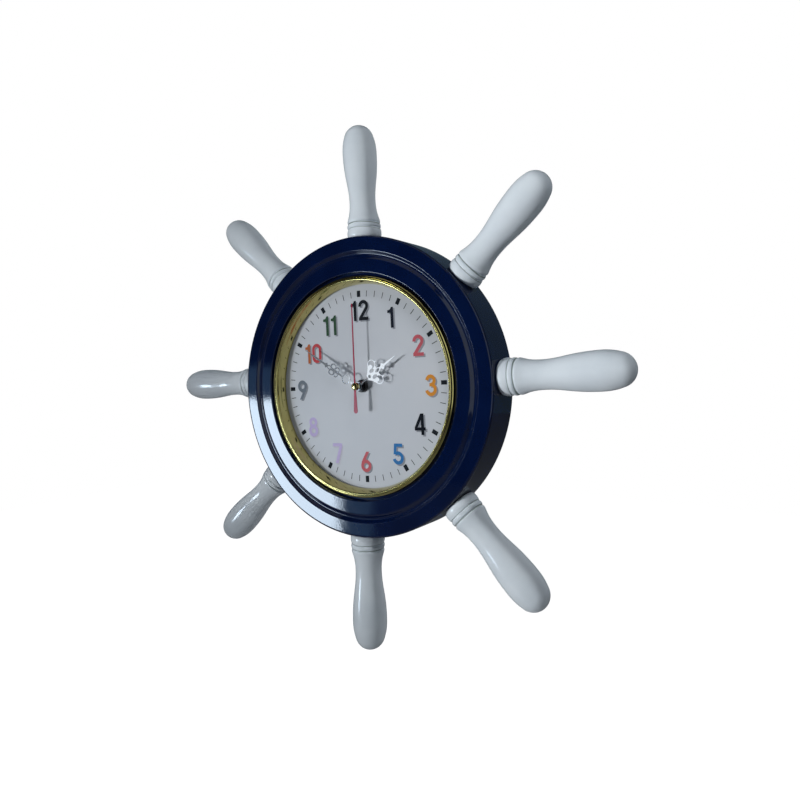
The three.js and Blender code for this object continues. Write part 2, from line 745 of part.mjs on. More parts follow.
function makeMotionWork() {
  const toMotion = directionOf(centre, motionPlace);
  const toKnob = directionOf(motionPlace, knobPlace);
  const motionPhase = matingPhase(0, cannonTeeth, toMotion, motionTeeth);
  const hourPhase = matingPhase(0, motionPinionTeeth, toMotion + Math.PI, hourTeeth);
  const knobPhase = matingPhase(motionPhase, motionTeeth, toKnob, knobPinionTeeth);
  const tubeBack = movementFace + centreLevel + wheelThickness + seatGap;

  const minuteBlank = joined(
    rod(minuteTubeRadius, dialFace - minuteTubeReach, tubeBack, tubeFacets),
    toothedWheel(cannonTeeth, motionDistance, motionTeeth, 0, motionLevel),
  );
  const minuteBore = rod(minuteTubeBore, dialFace - minuteTubeReach - 1, tubeBack + 1, pinFacets);
  addPiece('minute_arbor', cut(minuteBlank, minuteBore), steel, dialGroup);

  const motion = cut(
    joined(
      toothedWheel(motionTeeth, motionDistance, cannonTeeth, motionPhase, motionLevel),
      toothedWheel(motionPinionTeeth, motionDistance, hourTeeth, 0, hourLevel - pinionOverhang,
        motionLevel - hourLevel + 2 * pinionOverhang),
    ),
    rod(motionPostRadius + motionPostFit, movementFace, coverFace, pinFacets),
  );
  addPiece('motion_wheel', shifted(motion, motionPlace), whitePlastic, dialGroup);

  const hourEnd = movementFace + hourLevel + wheelThickness;
  const hourBlank = joined(
    rod(hourTubeRadius, dialFace - hourTubeReach, hourEnd, tubeFacets),
    toothedWheel(hourTeeth, motionDistance, motionPinionTeeth, hourPhase, hourLevel),
  );
  const hourBore = rod(hourTubeBore, dialFace - hourTubeReach - 1, hourEnd + 1, tubeFacets);
  addPiece('hour_wheel', cut(hourBlank, hourBore), blackPlastic, dialGroup);

  const knobFront = movementBack + knobStandOff;
  const knob = joined(
    pinion(knobPinionTeeth, motionDistance, motionTeeth, knobPhase, motionLevel),
    rod(pivotRadius, movementFace + seatGap, movementFace + motionLevel),
    rod(knobShaftRadius, movementFace + motionLevel + wheelThickness, knobFront + 0.1, pinFacets),
    plate(knobShape(), knobFront, knobThickness),
  );
  addPiece('setting_knob', shifted(knob, knobPlace), whitePlastic, dialGroup);
}

function knobShape() {
  const points = [];
  for (let i = 0; i < 2 * knobRibs; i += 1) {
    const radius = knobRadius - (i % 2) * knobRibDepth;
    const angle = (Math.PI * i) / knobRibs;
    points.push(new THREE.Vector2(radius * Math.cos(angle), radius * Math.sin(angle)));
  }
  return new THREE.Shape(points);
}

// Movement case, cover, plate and fixings

function roundedSquare(width, corner) {
  const half = width / 2;
  const shape = new THREE.Shape();
  shape.absarc(half - corner, -half + corner, corner, -Math.PI / 2, 0, false);
  shape.absarc(half - corner, half - corner, corner, 0, Math.PI / 2, false);
  shape.absarc(-half + corner, half - corner, corner, Math.PI / 2, Math.PI, false);
  shape.absarc(-half + corner, -half + corner, corner, Math.PI, (3 * Math.PI) / 2, false);
  return shape;
}

const cellCentreZ = -caseInside + cellFit + cellRadius;

function makeMovementCase() {
  const inner = movementFace + caseWall;
  const shell = joined(
    plate(roundedSquare(caseWidth, caseCorner), movementFace, caseDepth, 3),
    tube(stemBore, stemRadius, dialFace - stemReach, inner, tubeFacets),
  );
  const post = shifted(rod(motionPostRadius, movementFace, movementFace + centreLevel - seatGap), motionPlace);
  const cutters = [
    box([-caseInside, caseInside], [inner, coverFace + 1], [bayDividerPlace, caseInside]),
    box([-caseInside, caseInside], [inner, coverFace + 1], [-caseInside, bayDividerPlace - bayDividerWall]),
    rod(stemBore, dialFace - stemReach - 1, inner + 1, tubeFacets),
  ];
  for (const place of [thirdPlace, knobPlace]) {
    cutters.push(shifted(rod(pivotRadius + pivotFit, movementFace - 1, inner + 1), place));
  }
  const shellCut = cut(shell, ...cutters);
  addPiece('movement_case', joined(shellCut, post), blackPlastic, dialGroup);
  addPiece('rubber_washer', tube(stemRadius + dialHoleFit, washerRadius, boardBack, movementFace), rubber, dialGroup);
  const nutBack = dialFace;
  const nut = turned([
    [stemRadius + stemNutFit, nutBack - stemNutThickness],
    [stemNutRadius - 0.5, nutBack - stemNutThickness],
    [stemNutRadius, nutBack - stemNutThickness + 0.5],
    [stemNutRadius, nutBack],
    [stemRadius + stemNutFit, nutBack],
  ], 20);
  addPiece('stem_nut', nut, blackPlastic, dialGroup);
}

function makeMiddlePlate() {
  const reach = caseInside - plateFit;
  const front = movementFace + plateLevel;
  const low = bayDividerPlace + plateFit;
  const blank = box([-reach, reach], [front, front + plateThickness], [low, reach]);
  const holes = [];
  const hole = (radius, place) => holes.push(shifted(rod(radius, front - 1, front + 2), place));
  const thirdModule = (2 * thirdDistance) / (thirdPinionTeeth + centreTeeth);
  const thirdPinionReach = thirdModule * (thirdPinionTeeth / 2 + addendum);
  hole(secondArborRadius + pivotFit, centre);
  hole(thirdPinionReach + pivotFit, thirdPlace);
  hole(pivotRadius + pivotFit, intermediatePlace);
  hole(pivotRadius + pivotFit, rotorPlace);
  hole(knobShaftRadius + knobShaftFit, knobPlace);
  addPiece('middle_plate', cut(blank, ...holes), greyPlastic, dialGroup);
}

function makeCover() {
  const blank = plate(roundedSquare(caseWidth, caseCorner), coverFace, coverThickness, 3);
  const bossRadiusOut = pivotRadius + pivotFit + bossWall;
  const bearings = [centre, thirdPlace, intermediatePlace, rotorPlace];
  const bosses = bearings.map((place) => shifted(rod(bossRadiusOut, coverFace - bossReach, coverFace), place));
  const bores = bearings.map((place) => {
    const radius = (place === centre ? secondArborRadius : pivotRadius) + pivotFit;
    return shifted(rod(radius, coverFace - bossReach - 1, movementFace + rearPivotLevel + seatGap), place);
  });
  const bayTop = bayDividerPlace - bayDividerWall;
  const window = box([-caseInside + 0.6, caseInside - 0.6], [coverFace - 1, movementBack + 1],
    [-caseInside, bayTop]);
  const knobHole = shifted(rod(knobShaftRadius + knobShaftFit, coverFace - 1, movementBack + 1), knobPlace);
  addPiece('movement_cover', cut(joined(blank, ...bosses), ...bores, window, knobHole), blackPlastic, dialGroup);
}

// Electrics

function makeStepMotor() {
  const front = movementFace + statorLevel;
  const statorRight = rotorPlace[0] + statorBore + statorWall;
  const statorTop = rotorPlace[1] + statorRise;
  const statorBottom = rotorPlace[1] - statorDrop;
  const plateBlank = box([statorLeft, statorRight], [front, front + statorThickness], [statorBottom, statorTop]);
  const slotRight = coilPlace + coilFlangeRadius + seatGap;
  const slot = box([statorLeft - 1, slotRight], [front - 1, front + 2],
    [statorBottom + statorArm, statorTop - statorArm]);
  const rotorHole = shifted(rod(statorBore, front - 1, front + 2, tubeFacets), rotorPlace);
  addPiece('stator', cut(plateBlank, slot, rotorHole), steel, dialGroup);

  const coreMiddle = front - statorThickness / 2;
  const core = box([coilPlace - coreWidth / 2, coilPlace + coreWidth / 2],
    [front - statorThickness, front], [statorBottom + 0.5, statorTop - 0.5]);
  addPiece('coil_core', core, steel, dialGroup);

  const low = statorBottom + statorArm + seatGap;
  const high = statorTop - statorArm - seatGap;
  const bobbin = turned([
    [bobbinBore, low],
    [coilFlangeRadius, low],
    [coilFlangeRadius, low + coilFlange],
    [bobbinRadius, low + coilFlange],
    [bobbinRadius, high - coilFlange],
    [coilFlangeRadius, high - coilFlange],
    [coilFlangeRadius, high],
    [bobbinBore, high],
  ], tubeFacets);
  const winding = tube(bobbinRadius + windingFit, windingRadius,
    low + coilFlange + windingFit, high - coilFlange - windingFit);
  for (const [name, geometry, finish] of [['coil_bobbin', bobbin, whitePlastic], ['coil_winding', winding, copper]]) {
    const piece = addPiece(name, geometry, finish, dialGroup);
    piece.rotation.x = Math.PI / 2;
    piece.position.set(coilPlace, coreMiddle, 0);
  }
}

function makeCircuit() {
  const front = movementFace + boardLevel;
  const x = caseInside - plateFit - boardWidth / 2;
  const z = caseInside - plateFit - boardHeight / 2;
  const board = box([x - boardWidth / 2, x + boardWidth / 2], [front, front + boardThickness],
    [z - boardHeight / 2, z + boardHeight / 2]);
  addPiece('circuit_board', board, boardGreen, dialGroup);
  const crystal = addPiece('quartz_crystal', rod(crystalRadius, 0, crystalLength, tubeFacets), steel, dialGroup);
  crystal.rotation.z = Math.PI / 2;
  crystal.position.set(x + crystalLength / 2, front - crystalRadius - seatGap, z);
}

function makeCell() {
  const start = -(cellLength + cellNubLength) / 2;
  const cell = addPiece('battery_cell', turned([
    [0, start],
    [cellRadius, start],
    [cellRadius, start + cellLength],
    [cellNubRadius, start + cellLength],
    [cellNubRadius, start + cellLength + cellNubLength],
    [0, start + cellLength + cellNubLength],
  ], tubeFacets), cellJacket, dialGroup);
  const cellY = movementFace + caseWall + cellFit + cellRadius;
  cell.rotation.z = -Math.PI / 2;
  cell.position.set(0, cellY, cellCentreZ);
  const outer = caseInside - seatGap;
  const reach = -start + seatGap;
  for (const [name, side] of [['contact_negative', -1], ['contact_positive', 1]]) {
    const shape = new THREE.Shape();
    shape.moveTo(side * outer, -contactWidth / 2);
    shape.quadraticCurveTo(side * (2 * reach - outer + contactBow), 0, side * outer, contactWidth / 2);
    shape.lineTo(side * (outer - contactThickness), contactWidth / 2);
    const inner = 2 * (reach - contactThickness) - outer + contactThickness + contactBow;
    shape.quadraticCurveTo(side * inner, 0, side * (outer - contactThickness), -contactWidth / 2);
    const strip = plate(shape, cellY - contactWidth / 2, contactWidth, 4);
    addPiece(name, shifted(strip, [0, cellCentreZ]), steel, dialGroup);
  }
}

// Hands

// Flat shapes of a hand that points up, in the dial's plane: across, along
function oval(across, along, halfAcross, halfAlong) {
  const shape = new THREE.Shape();
  shape.absellipse(across, along, halfAcross, halfAlong, 0, 2 * Math.PI, false, 0);
  return shape;
}

function disc(across, along, radius) {
  const shape = new THREE.Shape();
  shape.absarc(across, along, radius, 0, 2 * Math.PI, false);
  return shape;
}

function bar(fromHalf, from, toHalf, to) {
  return new THREE.Shape([
    new THREE.Vector2(-fromHalf, from),
    new THREE.Vector2(fromHalf, from),
    new THREE.Vector2(toHalf, to),
    new THREE.Vector2(-toHalf, to),
  ]);
}

// The pointer at a hand's end: barbs at its foot, then a long taper
function spear(foot, tip, halfWidth, barb) {
  return new THREE.Shape([
    new THREE.Vector2(0, foot - barb),
    new THREE.Vector2(barb * 1.1, foot),
    new THREE.Vector2(halfWidth, foot + barb * 0.9),
    new THREE.Vector2(halfWidth * 0.9, foot + (tip - foot) * 0.45),
    new THREE.Vector2(0.12, tip),
    new THREE.Vector2(-0.12, tip),
    new THREE.Vector2(-halfWidth * 0.9, foot + (tip - foot) * 0.45),
    new THREE.Vector2(-halfWidth, foot + barb * 0.9),
    new THREE.Vector2(-barb * 1.1, foot),
  ]);
}

// A polygon and its mirror image on the hand's other side
function mirroredPolygon(points) {
  return [1, -1].map((side) => {
    const corners = points.map(([across, along]) => new THREE.Vector2(side * across, along));
    return new THREE.Shape(corners);
  });
}

// The hand's outline filled, its openings cut, then the solid leaves inside the openings
function handPlate(outline, openings, leaves, height, bore) {
  const front = dialFace - height;
  const solid = joined(...outline.map((shape) => plate(shape, front, handThickness, 5)));
  const cutters = openings.map((shape) => plate(shape, front - 1, handThickness + 2, 4));
  const inside = leaves.map((shape) => plate(shape, front, handThickness, 5));
  const openwork = openings.length > 0 ? cut(solid, ...cutters) : solid;
  const whole = leaves.length > 0 ? joined(openwork, ...inside) : openwork;
  return cut(whole, rod(bore, front - 1, front + handThickness + 1, tubeFacets));
}

function makeHourHand() {
  const outline = [
    disc(0, 0, hourHubRadius),
    bar(1.1, 0, 1.1, 13.4),
    bar(1.1, 26, 1.1, 31),
    oval(0, 24.4, 2, 3.1),
    spear(30.4, hourHandLength, 1, 2.7),
    ...mirroredPolygon([[-0.1, 12.4], [1.9, 12.7], [4, 14.9], [9, 18.7], [7, 24.6], [-0.1, 24.6]]),
    ...mirroredPolygon([[6.3, 25], [8.6, 25], [7.2, 27.9]]),
  ];
  const openings = [oval(0, 15, 1.2, 1.6), oval(0, 24.4, 1.1, 2.2)];
  const leaves = [];
  for (const side of [-1, 1]) {
    outline.push(disc(side * 7.4, 22, 4));
    openings.push(oval(side * 3, 19.6, 1.6, 2.4));
    openings.push(oval(side * 7.4, 22.3, 3.1, 2.8));
    leaves.push(disc(side * 6.7, 20.4, 2.7));
  }
  return handPlate(outline, openings, leaves, hourHandHeight, hourTubeRadius + handFit);
}

function makeMinuteHand() {
  const outline = [
    disc(0, 0, minuteHubRadius),
    bar(0.9, 0, 0.9, 9),
    disc(0, 12.4, 4.4),
    bar(0.9, 16, 0.8, 37),
    oval(0, 33.2, 1.9, 2.7),
    spear(36.8, minuteHandLength, 0.9, 2.2),
  ];
  const openings = [disc(0, 12.6, 3.4), oval(0, 33.2, 1, 1.7)];
  for (const side of [-1, 1]) {
    outline.push(disc(side * 2.4, 24, 2.4));
    outline.push(oval(side * 2.8, 29.2, 2.5, 3.2));
    openings.push(oval(side * 2.4, 24, 1.3, 1.6));
    openings.push(oval(side * 2.8, 29.2, 1.5, 2.1));
  }
  return handPlate(outline, openings, [], minuteHandHeight, minuteTubeRadius + handFit);
}

function secondHandShape() {
  const tailCentre = -secondHandTail + secondHandTailWidth / 2;
  const shape = new THREE.Shape();
  shape.moveTo(-secondHandTipWidth / 2, secondHandLength);
  shape.lineTo(-secondHandWaist / 2, 0);
  shape.lineTo(-secondHandTailWidth / 2, tailCentre);
  shape.absarc(0, tailCentre, secondHandTailWidth / 2, Math.PI, 2 * Math.PI, false);
  shape.lineTo(secondHandWaist / 2, 0);
  shape.lineTo(secondHandTipWidth / 2, secondHandLength);
  return shape;
}

function makeHands() {
  addPiece('hour_hand', makeHourHand(), silver, dialGroup).rotation.y = radians(hourHandTurn);
  addPiece('minute_hand', makeMinuteHand(), silver, dialGroup).rotation.y = radians(minuteHandTurn);

  const nutBack = dialFace - minuteHandHeight - 0.02;
  const nut = tube(minuteTubeRadius + handFit, minuteNutRadius, nutBack - minuteNutThickness, nutBack, 6);
  addPiece('minute_nut', nut, brass, dialGroup);

  const redShapes = [secondHandShape(), disc(0, 0, bossRadius - 0.4)];
  const red = handPlate(redShapes, [], [], secondHandHeight, secondArborRadius + handFit + 0.65);
  addPiece('second_hand', red, redLacquer, dialGroup).rotation.y = radians(secondHandTurn);

  const handFront = dialFace - secondHandHeight;
  const handBack = handFront + handThickness;
  const crown = handFront - bossDome;
  const bore = secondArborRadius + handFit;
  addPiece('second_boss', turned([
    [0, crown],
    [bossRadius * 0.55, crown + bossDome * 0.22],
    [bossRadius, handFront - seatGap],
    [bore + 0.35, handFront - seatGap],
    [bore + 0.35, handBack + bossBack],
    [bore, handBack + bossBack],
    [bore, dialFace - secondArborReach - seatGap],
    [0, dialFace - secondArborReach - seatGap],
  ], tubeFacets), brass, dialGroup);
}

makeWheel();
makeHandles();
makeDial();
makeHanger();
makeMovementCase();
makeMiddlePlate();
makeCover();
makeGoingTrain();
makeMotionWork();
makeStepMotor();
makeCircuit();
makeCell();
makeHands();

export default clock;
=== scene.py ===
"""Looks of a ship's wheel wall clock: gloss paint, turned brass, printed dial, openwork hands.

Lengths are written in millimetres and turned into metres where a mesh is made. Those of the camera and
the lights are in metres. Y is the clock's axis: the wall is at y = 0, the viewer looks along +Y, and +Z
is up.
"""
import json
import math

import bmesh
import bpy
from mathutils import Euler, Matrix, Vector


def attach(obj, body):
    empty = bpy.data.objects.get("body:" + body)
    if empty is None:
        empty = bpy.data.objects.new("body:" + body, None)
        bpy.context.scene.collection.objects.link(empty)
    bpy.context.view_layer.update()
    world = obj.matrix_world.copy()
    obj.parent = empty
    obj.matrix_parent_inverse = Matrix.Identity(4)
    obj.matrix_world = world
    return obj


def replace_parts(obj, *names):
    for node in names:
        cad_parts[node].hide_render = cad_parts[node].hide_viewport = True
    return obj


MM = 0.001
FRAME = "clock_frame"

# Wooden wheel
WHEEL_RADIUS = 126.7
WHEEL_DEPTH = 36.7
FRONT = -WHEEL_DEPTH
RECESS_RADIUS = 100
DIAL_FACE = FRONT + 11.2
OPENING_RADIUS = 90.3
REBATE_RADIUS = 95.9
REBATE_DEPTH = 4.3
GROOVE_START = 106.9
GROOVE_FLOOR_START = 111.1
GROOVE_FLOOR_END = 111.5
GROOVE_END = 114.7
GROOVE_DEPTH = 2.2
SCREW_RING_RADIUS = 95.3
HANGER_RADIUS = 113
HANGER_SCREW_SPREAD = 16.5
WHEEL_SEGMENTS = 256

# Handles; the angles are in degrees clockwise
HANDLE_COUNT = 8
HANDLE_PLANE = FRONT / 2
HANDLE_START = WHEEL_RADIUS + 0.3
HANDLE_LENGTH = 99.5
HANDLE_END_RADIUS = 13
HANDLE_BELLY_RADIUS = 14.8
HANDLE_NECK_RADIUS = 11.3
NECK_PLACE = 32.5
BELLY_PLACE = 75
HANDLE_SKEW = [-0.9, 1.7, -3.7, 1.3, 0.6, 4.7, 0.6, 0.6]
HANDLE_LEAN = [-2.8, -2.2, -0.3, -1.3, -2.0, -2.3, -2.7, -4.1]
DOWEL_BORE = 5.3
BORE_IN_WHEEL = 20.6
BORE_IN_HANDLE = 24.6

# Bezel
BEZEL_RADIUS = 93.4
BEAD_CENTRE = 90.2
BEAD_RADIUS = 1.2
BEZEL_CROWN = FRONT - 0.5
WALL_FOOT_RADIUS = 86.9
WALL_LEAN = 2.1
WALL_FOOT = DIAL_FACE - 1.2

# Dial and hands; heights are above the dial, angles in degrees clockwise
DIAL_TURN = -2.9
PRINT_LIFT = 0.02
MARK_RADIUS = 79.1
TICK_SIZE = (0.6, 0.03, 5.2)
BLOCK_SIZE = (3.5, 0.03, 5.4)
STROKE = 2.9
PRINT_SHADOW = (1.5, -1.2)
HAND_THICKNESS = 0.45
HOUR_HAND_HEIGHT = 7.7
MINUTE_HAND_HEIGHT = 9.7
SECOND_HAND_HEIGHT = 11.9
BOSS_HEIGHT = 13
HOUR_HAND_TURN = 58.9
MINUTE_HAND_TURN = -57.8
SECOND_HAND_TURN = 0.6

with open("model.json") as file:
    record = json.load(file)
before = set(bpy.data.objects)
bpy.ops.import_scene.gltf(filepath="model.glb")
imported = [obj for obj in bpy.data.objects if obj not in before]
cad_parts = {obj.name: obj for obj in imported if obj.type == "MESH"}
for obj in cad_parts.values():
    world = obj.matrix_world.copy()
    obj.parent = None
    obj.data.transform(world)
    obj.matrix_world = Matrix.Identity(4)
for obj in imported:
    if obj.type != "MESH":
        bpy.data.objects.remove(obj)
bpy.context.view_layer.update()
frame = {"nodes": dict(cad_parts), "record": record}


# Materials

class Wire:
    """A socket of a node tree, on which arithmetic adds Math nodes."""

    def __init__(self, finish, socket):
        self.finish = finish
        self.socket = socket

    def combine(self, operation, first, second):
        return self.finish.node("ShaderNodeMath", {"operation": operation}, {0: first, 1: second})["Value"]

    def __add__(self, other):
        return self.combine("ADD", self, other)

    def __radd__(self, other):
        return self.combine("ADD", other, self)

    def __sub__(self, other):
        return self.combine("SUBTRACT", self, other)

    def __rsub__(self, other):
        return self.combine("SUBTRACT", other, self)

    def __mul__(self, other):
        return self.combine("MULTIPLY", self, other)

    def __rmul__(self, other):
        return self.combine("MULTIPLY", other, self)


SHADER_SOCKETS = {
    "roughness": "Roughness",
    "metallic": "Metallic",
    "specular_ior_level": "Specular IOR Level",
    "coat_weight": "Coat Weight",
    "coat_roughness": "Coat Roughness",
}


class Finish:
    """One material: a Principled shader whose looks are built from nodes."""

    def __init__(self, name, color, **sockets):
        self.material = bpy.data.materials.new(name)
        self.material.use_nodes = True
        self.tree = self.material.node_tree
        self.shader = self.tree.nodes["Principled BSDF"]
        self.shader.inputs["Base Color"].default_value = (*linear(color), 1)
        self.material.diffuse_color = (*linear(color), 1)
        for socket, value in sockets.items():
            self.shader.inputs[SHADER_SOCKETS[socket]].default_value = value

    def node(self, kind, settings, values):
        made = self.tree.nodes.new(kind)
        for setting, value in settings.items():
            setattr(made, setting, value)
        for socket, value in values.items():
            if isinstance(value, Wire):
                self.tree.links.new(value.socket, made.inputs[socket])
            else:
                made.inputs[socket].default_value = value
        return {output.name: Wire(self, output) for output in made.outputs}

    def place(self):
        """Object coordinates: metres from the clock's origin."""
        return self.node("ShaderNodeTexCoord", {}, {})["Object"]

    def noise(self, size, detail=3, vector=None):
        """Soft noise from 0 to 1, whose lumps are about size millimetres across."""
        values = {"Vector": vector or self.place(), "Scale": 1 / (size * MM), "Detail": detail}
        return self.node("ShaderNodeTexNoise", {}, values)["Fac"]

    def ramp(self, value, low, high):
        """0 below low, 1 above high."""
        values = {"Value": value, "From Min": low, "From Max": high}
        return self.node("ShaderNodeMapRange", {"clamp": True}, values)["Result"]

    def mix(self, factor, first, second):
        """A blend of two colours; sockets 6 and 7 and output 2 of the node are those for colours."""
        colors = [color if isinstance(color, Wire) else (*linear(color), 1) for color in (first, second)]
        values = {0: factor, 6: colors[0], 7: colors[1]}
        made = self.node("ShaderNodeMix", {"data_type": "RGBA"}, values)
        return Wire(self, made["Result"].socket.node.outputs[2])

    def link(self, socket, wire):
        self.tree.links.new(wire.socket, self.shader.inputs[socket])

    def bump(self, height, distance):
        """Relief that rises by distance millimetres as the height goes from 0 to 1."""
        values = {"Height": height, "Distance": distance * MM, "Strength": 1}
        self.link("Normal", self.node("ShaderNodeBump", {}, values)["Normal"])


def linear(color):
    """Linear light from a colour of 0 to 255."""
    parts = []
    for value in color:
        share = value / 255
        parts.append(share / 12.92 if share <= 0.04045 else ((share + 0.055) / 1.055) ** 2.4)
    return parts


def navy_paint():
    finish = Finish("navy_paint", (2, 16, 52), roughness=0.05)
    peel = finish.noise(1.3, 2)
    brushing = finish.noise(7, 3)
    cloud = finish.ramp(finish.noise(28, 4), 0.35, 0.7)
    finish.link("Base Color", finish.mix(cloud, (1, 15, 50), (3, 20, 58)))
    finish.link("Roughness", 0.03 + 0.03 * brushing)
    finish.bump(peel + 1.6 * brushing, 0.012)
    return finish.material


def axis_distance(finish):
    """Distance of a surface point from the clock's axis, in metres."""
    flat = finish.node("ShaderNodeVectorMath", {"operation": "MULTIPLY"}, {0: finish.place(), 1: (1, 0, 1)})
    return finish.node("ShaderNodeVectorMath", {"operation": "LENGTH"}, {0: flat["Vector"]})["Value"]


def white_paint():
    """Gloss paint, with painted shade: a grey-green band darkens it in the groove and the crease near each
    handle's foot.
    """
    finish = Finish("white_paint", (225, 235, 243), roughness=0.1)
    flow = finish.noise(7, 3)
    tint = finish.ramp(finish.noise(22, 4), 0.4, 0.75)
    paint = finish.mix(tint, (227, 237, 245), (219, 230, 239))
    radius = axis_distance(finish)
    # Painted shade: these grey-green bands stand for the shade that falls in the groove and the crease.
    groove = (WHEEL_RADIUS + 13.2, 0.5)
    crease = (WHEEL_RADIUS + 8.7, 0.3)
    for place, half_width in (groove, crease):
        start = place - half_width
        end = place + half_width
        inside = finish.ramp(radius, start * MM, (start + 0.2) * MM)
        outside = finish.ramp(radius, (end - 0.2) * MM, end * MM)
        paint = finish.mix(inside - outside, paint, (150, 162, 160))
    finish.link("Base Color", paint)
    finish.link("Roughness", 0.11 + 0.08 * flow)
    finish.bump(flow, 0.05)
    return finish.material


def brass(name, lathe_marks):
    """Polished brass, with rings a quarter of a millimetre apart where it has the lathe's marks."""
    finish = Finish(name, (202, 188, 124), metallic=1.0, roughness=0.14)
    tarnish = finish.ramp(finish.noise(14, 4), 0.35, 0.85)
    finish.link("Base Color", finish.mix(tarnish, (202, 190, 126), (188, 174, 108)))
    finish.link("Roughness", 0.11 + 0.06 * tarnish)
    if lathe_marks:
        phase = axis_distance(finish) * 26000
        rings = finish.node("ShaderNodeMath", {"operation": "SINE"}, {0: phase})["Value"]
        finish.bump(rings, 0.0004)
    return finish.material


def dial_card():
    finish = Finish("dial_card", (190, 194, 200), roughness=0.4, specular_ior_level=0.45)
    cloud = finish.ramp(finish.noise(45, 3), 0.3, 0.75)
    finish.link("Base Color", finish.mix(cloud, (184, 190, 198), (190, 195, 202)))
    finish.link("Roughness", 0.36 + 0.08 * finish.noise(2.5, 2))
    finish.bump(finish.noise(0.8, 2), 0.006)
    return finish.material


def printed(name, color):
    finish = Finish(name, color, roughness=0.6, specular_ior_level=0.1)
    patch = finish.ramp(finish.noise(1.6, 3), 0.35, 0.75)
    lighter = tuple(min(255, part + 8) for part in color)
    finish.link("Base Color", finish.mix(patch, color, lighter))
    finish.link("Roughness", 0.55 + 0.1 * patch)
    return finish.material


def bright_metal(name, color, roughness, grain=0.0):
    finish = Finish(name, color, metallic=1.0, roughness=roughness)
    smear = finish.noise(3.5, 4)
    finish.link("Roughness", roughness * 0.8 + roughness * 0.4 * smear)
    finish.bump(finish.noise(0.6, 2), 0.001 + grain)
    return finish.material


def lacquer(name, color, roughness=0.3):
    coat = {"specular_ior_level": 0.3, "coat_weight": 0.15, "coat_roughness": 0.2}
    finish = Finish(name, color, roughness=roughness, **coat)
    shade = tuple(part * 0.88 for part in color)
    finish.link("Base Color", finish.mix(finish.noise(5, 3), color, shade))
    finish.bump(finish.noise(1.2, 2), 0.008)
    return finish.material


def moulded(name, color, roughness=0.42):
    finish = Finish(name, color, roughness=roughness)
    grain = finish.noise(0.35, 2)
    shade = tuple(part * 0.86 for part in color)
    finish.link("Base Color", finish.mix(finish.noise(12, 4), color, shade))
    finish.link("Roughness", roughness - 0.06 + 0.14 * grain)
    finish.bump(grain, 0.012)
    return finish.material


def wood(name, light, dark, stretch):
    """Wood whose fibres run along the axis with the smallest stretch."""
    finish = Finish(name, light, roughness=0.6)
    mapped = finish.node("ShaderNodeMapping", {}, {"Vector": finish.place(), "Scale": stretch})["Vector"]
    fibre = finish.noise(2.381, 5, mapped)
    finish.link("Base Color", finish.mix(finish.ramp(fibre, 0.35, 0.7), light, dark))
    finish.link("Roughness", 0.5 + 0.25 * fibre)
    finish.bump(fibre, 0.05)
    return finish.material


def cell_jacket():
    finish = Finish("cell_jacket", (44, 70, 108), metallic=0.4, roughness=0.3)
    along = finish.node("ShaderNodeSeparateXYZ", {}, {0: finish.place()})["X"]
    band = finish.ramp(along, 13.5 * MM, 13.8 * MM)
    finish.link("Base Color", finish.mix(band, (38, 60, 96), (190, 150, 84)))
    finish.bump(finish.noise(1.5, 2), 0.01)
    return finish.material


FINISHES = {
    "navy_paint": navy_paint(),
    "white_paint": white_paint(),
    "beech": wood("beech", (196, 162, 116), (164, 126, 84), (0.3, 1, 1)),
    "brass": brass("brass", lathe_marks=True),
    "card": dial_card(),
    "hardboard": wood("hardboard", (128, 92, 62), (92, 62, 40), (1, 1, 1)),
    "steel": bright_metal("steel", (178, 182, 186), 0.3, 0.004),
    "black_plastic": moulded("black_plastic", (18, 18, 20), 0.36),
    "rubber": moulded("rubber", (24, 24, 24), 0.75),
    "silver": bright_metal("silver", (232, 240, 248), 0.07),
    "red_lacquer": lacquer("red_lacquer", (160, 36, 66)),
    "grey_plastic": moulded("grey_plastic", (140, 143, 147)),
    "white_plastic": moulded("white_plastic", (226, 226, 220), 0.4),
    "copper": bright_metal("copper", (190, 104, 62), 0.32, 0.02),
    "circuit_green": lacquer("circuit_green", (28, 92, 56), 0.4),
    "cell_jacket": cell_jacket(),
}


# Meshes

def add_piece(name, mesh, material, body=FRAME):
    """A mesh as a piece of the clock, which rides on a body and takes the given material."""
    mesh.materials.clear()
    mesh.materials.append(material)
    piece = bpy.data.objects.new(name, mesh)
    bpy.context.scene.collection.objects.link(piece)
    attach(piece, body)
    return piece


def finish_mesh(builder, name, sharp_angle=35):
    """A mesh from a bmesh in millimetres: smooth faces, with creases left sharp."""
    bmesh.ops.remove_doubles(builder, verts=builder.verts, dist=1e-4)
    bmesh.ops.scale(builder, verts=builder.verts, vec=(MM, MM, MM))
    bmesh.ops.recalc_face_normals(builder, faces=builder.faces)
    mesh = bpy.data.meshes.new(name)
    builder.to_mesh(mesh)
    builder.free()
    mesh.shade_smooth()
    mesh.set_sharp_from_angle(angle=math.radians(sharp_angle))
    return mesh


def turned(outline, segments, closed=True):
    """A bmesh of an outline of (radius, y) turned about the clock's axis."""
    builder = bmesh.new()
    rings = []
    for radius, y in outline:
        if radius < 1e-6:
            rings.append([builder.verts.new((0, y, 0))])
            continue
        ring = []
        for i in range(segments):
            angle = 2 * math.pi * i / segments
            ring.append(builder.verts.new((radius * math.sin(angle), y, radius * math.cos(angle))))
        rings.append(ring)
    pairs = list(zip(rings, rings[1:] + rings[:1])) if closed else list(zip(rings, rings[1:]))
    for one, two in pairs:
        bridge(builder, one, two, segments)
    return builder


def bridge(builder, one, two, segments):
    """Faces between two rings, either of which may be a single point on the axis."""
    if len(one) == 1 and len(two) == 1:
        return
    for i in range(segments):
        j = (i + 1) % segments
        corners = [one[i % len(one)], one[j % len(one)], two[j % len(two)], two[i % len(two)]]
        builder.faces.new(list(dict.fromkeys(corners)))


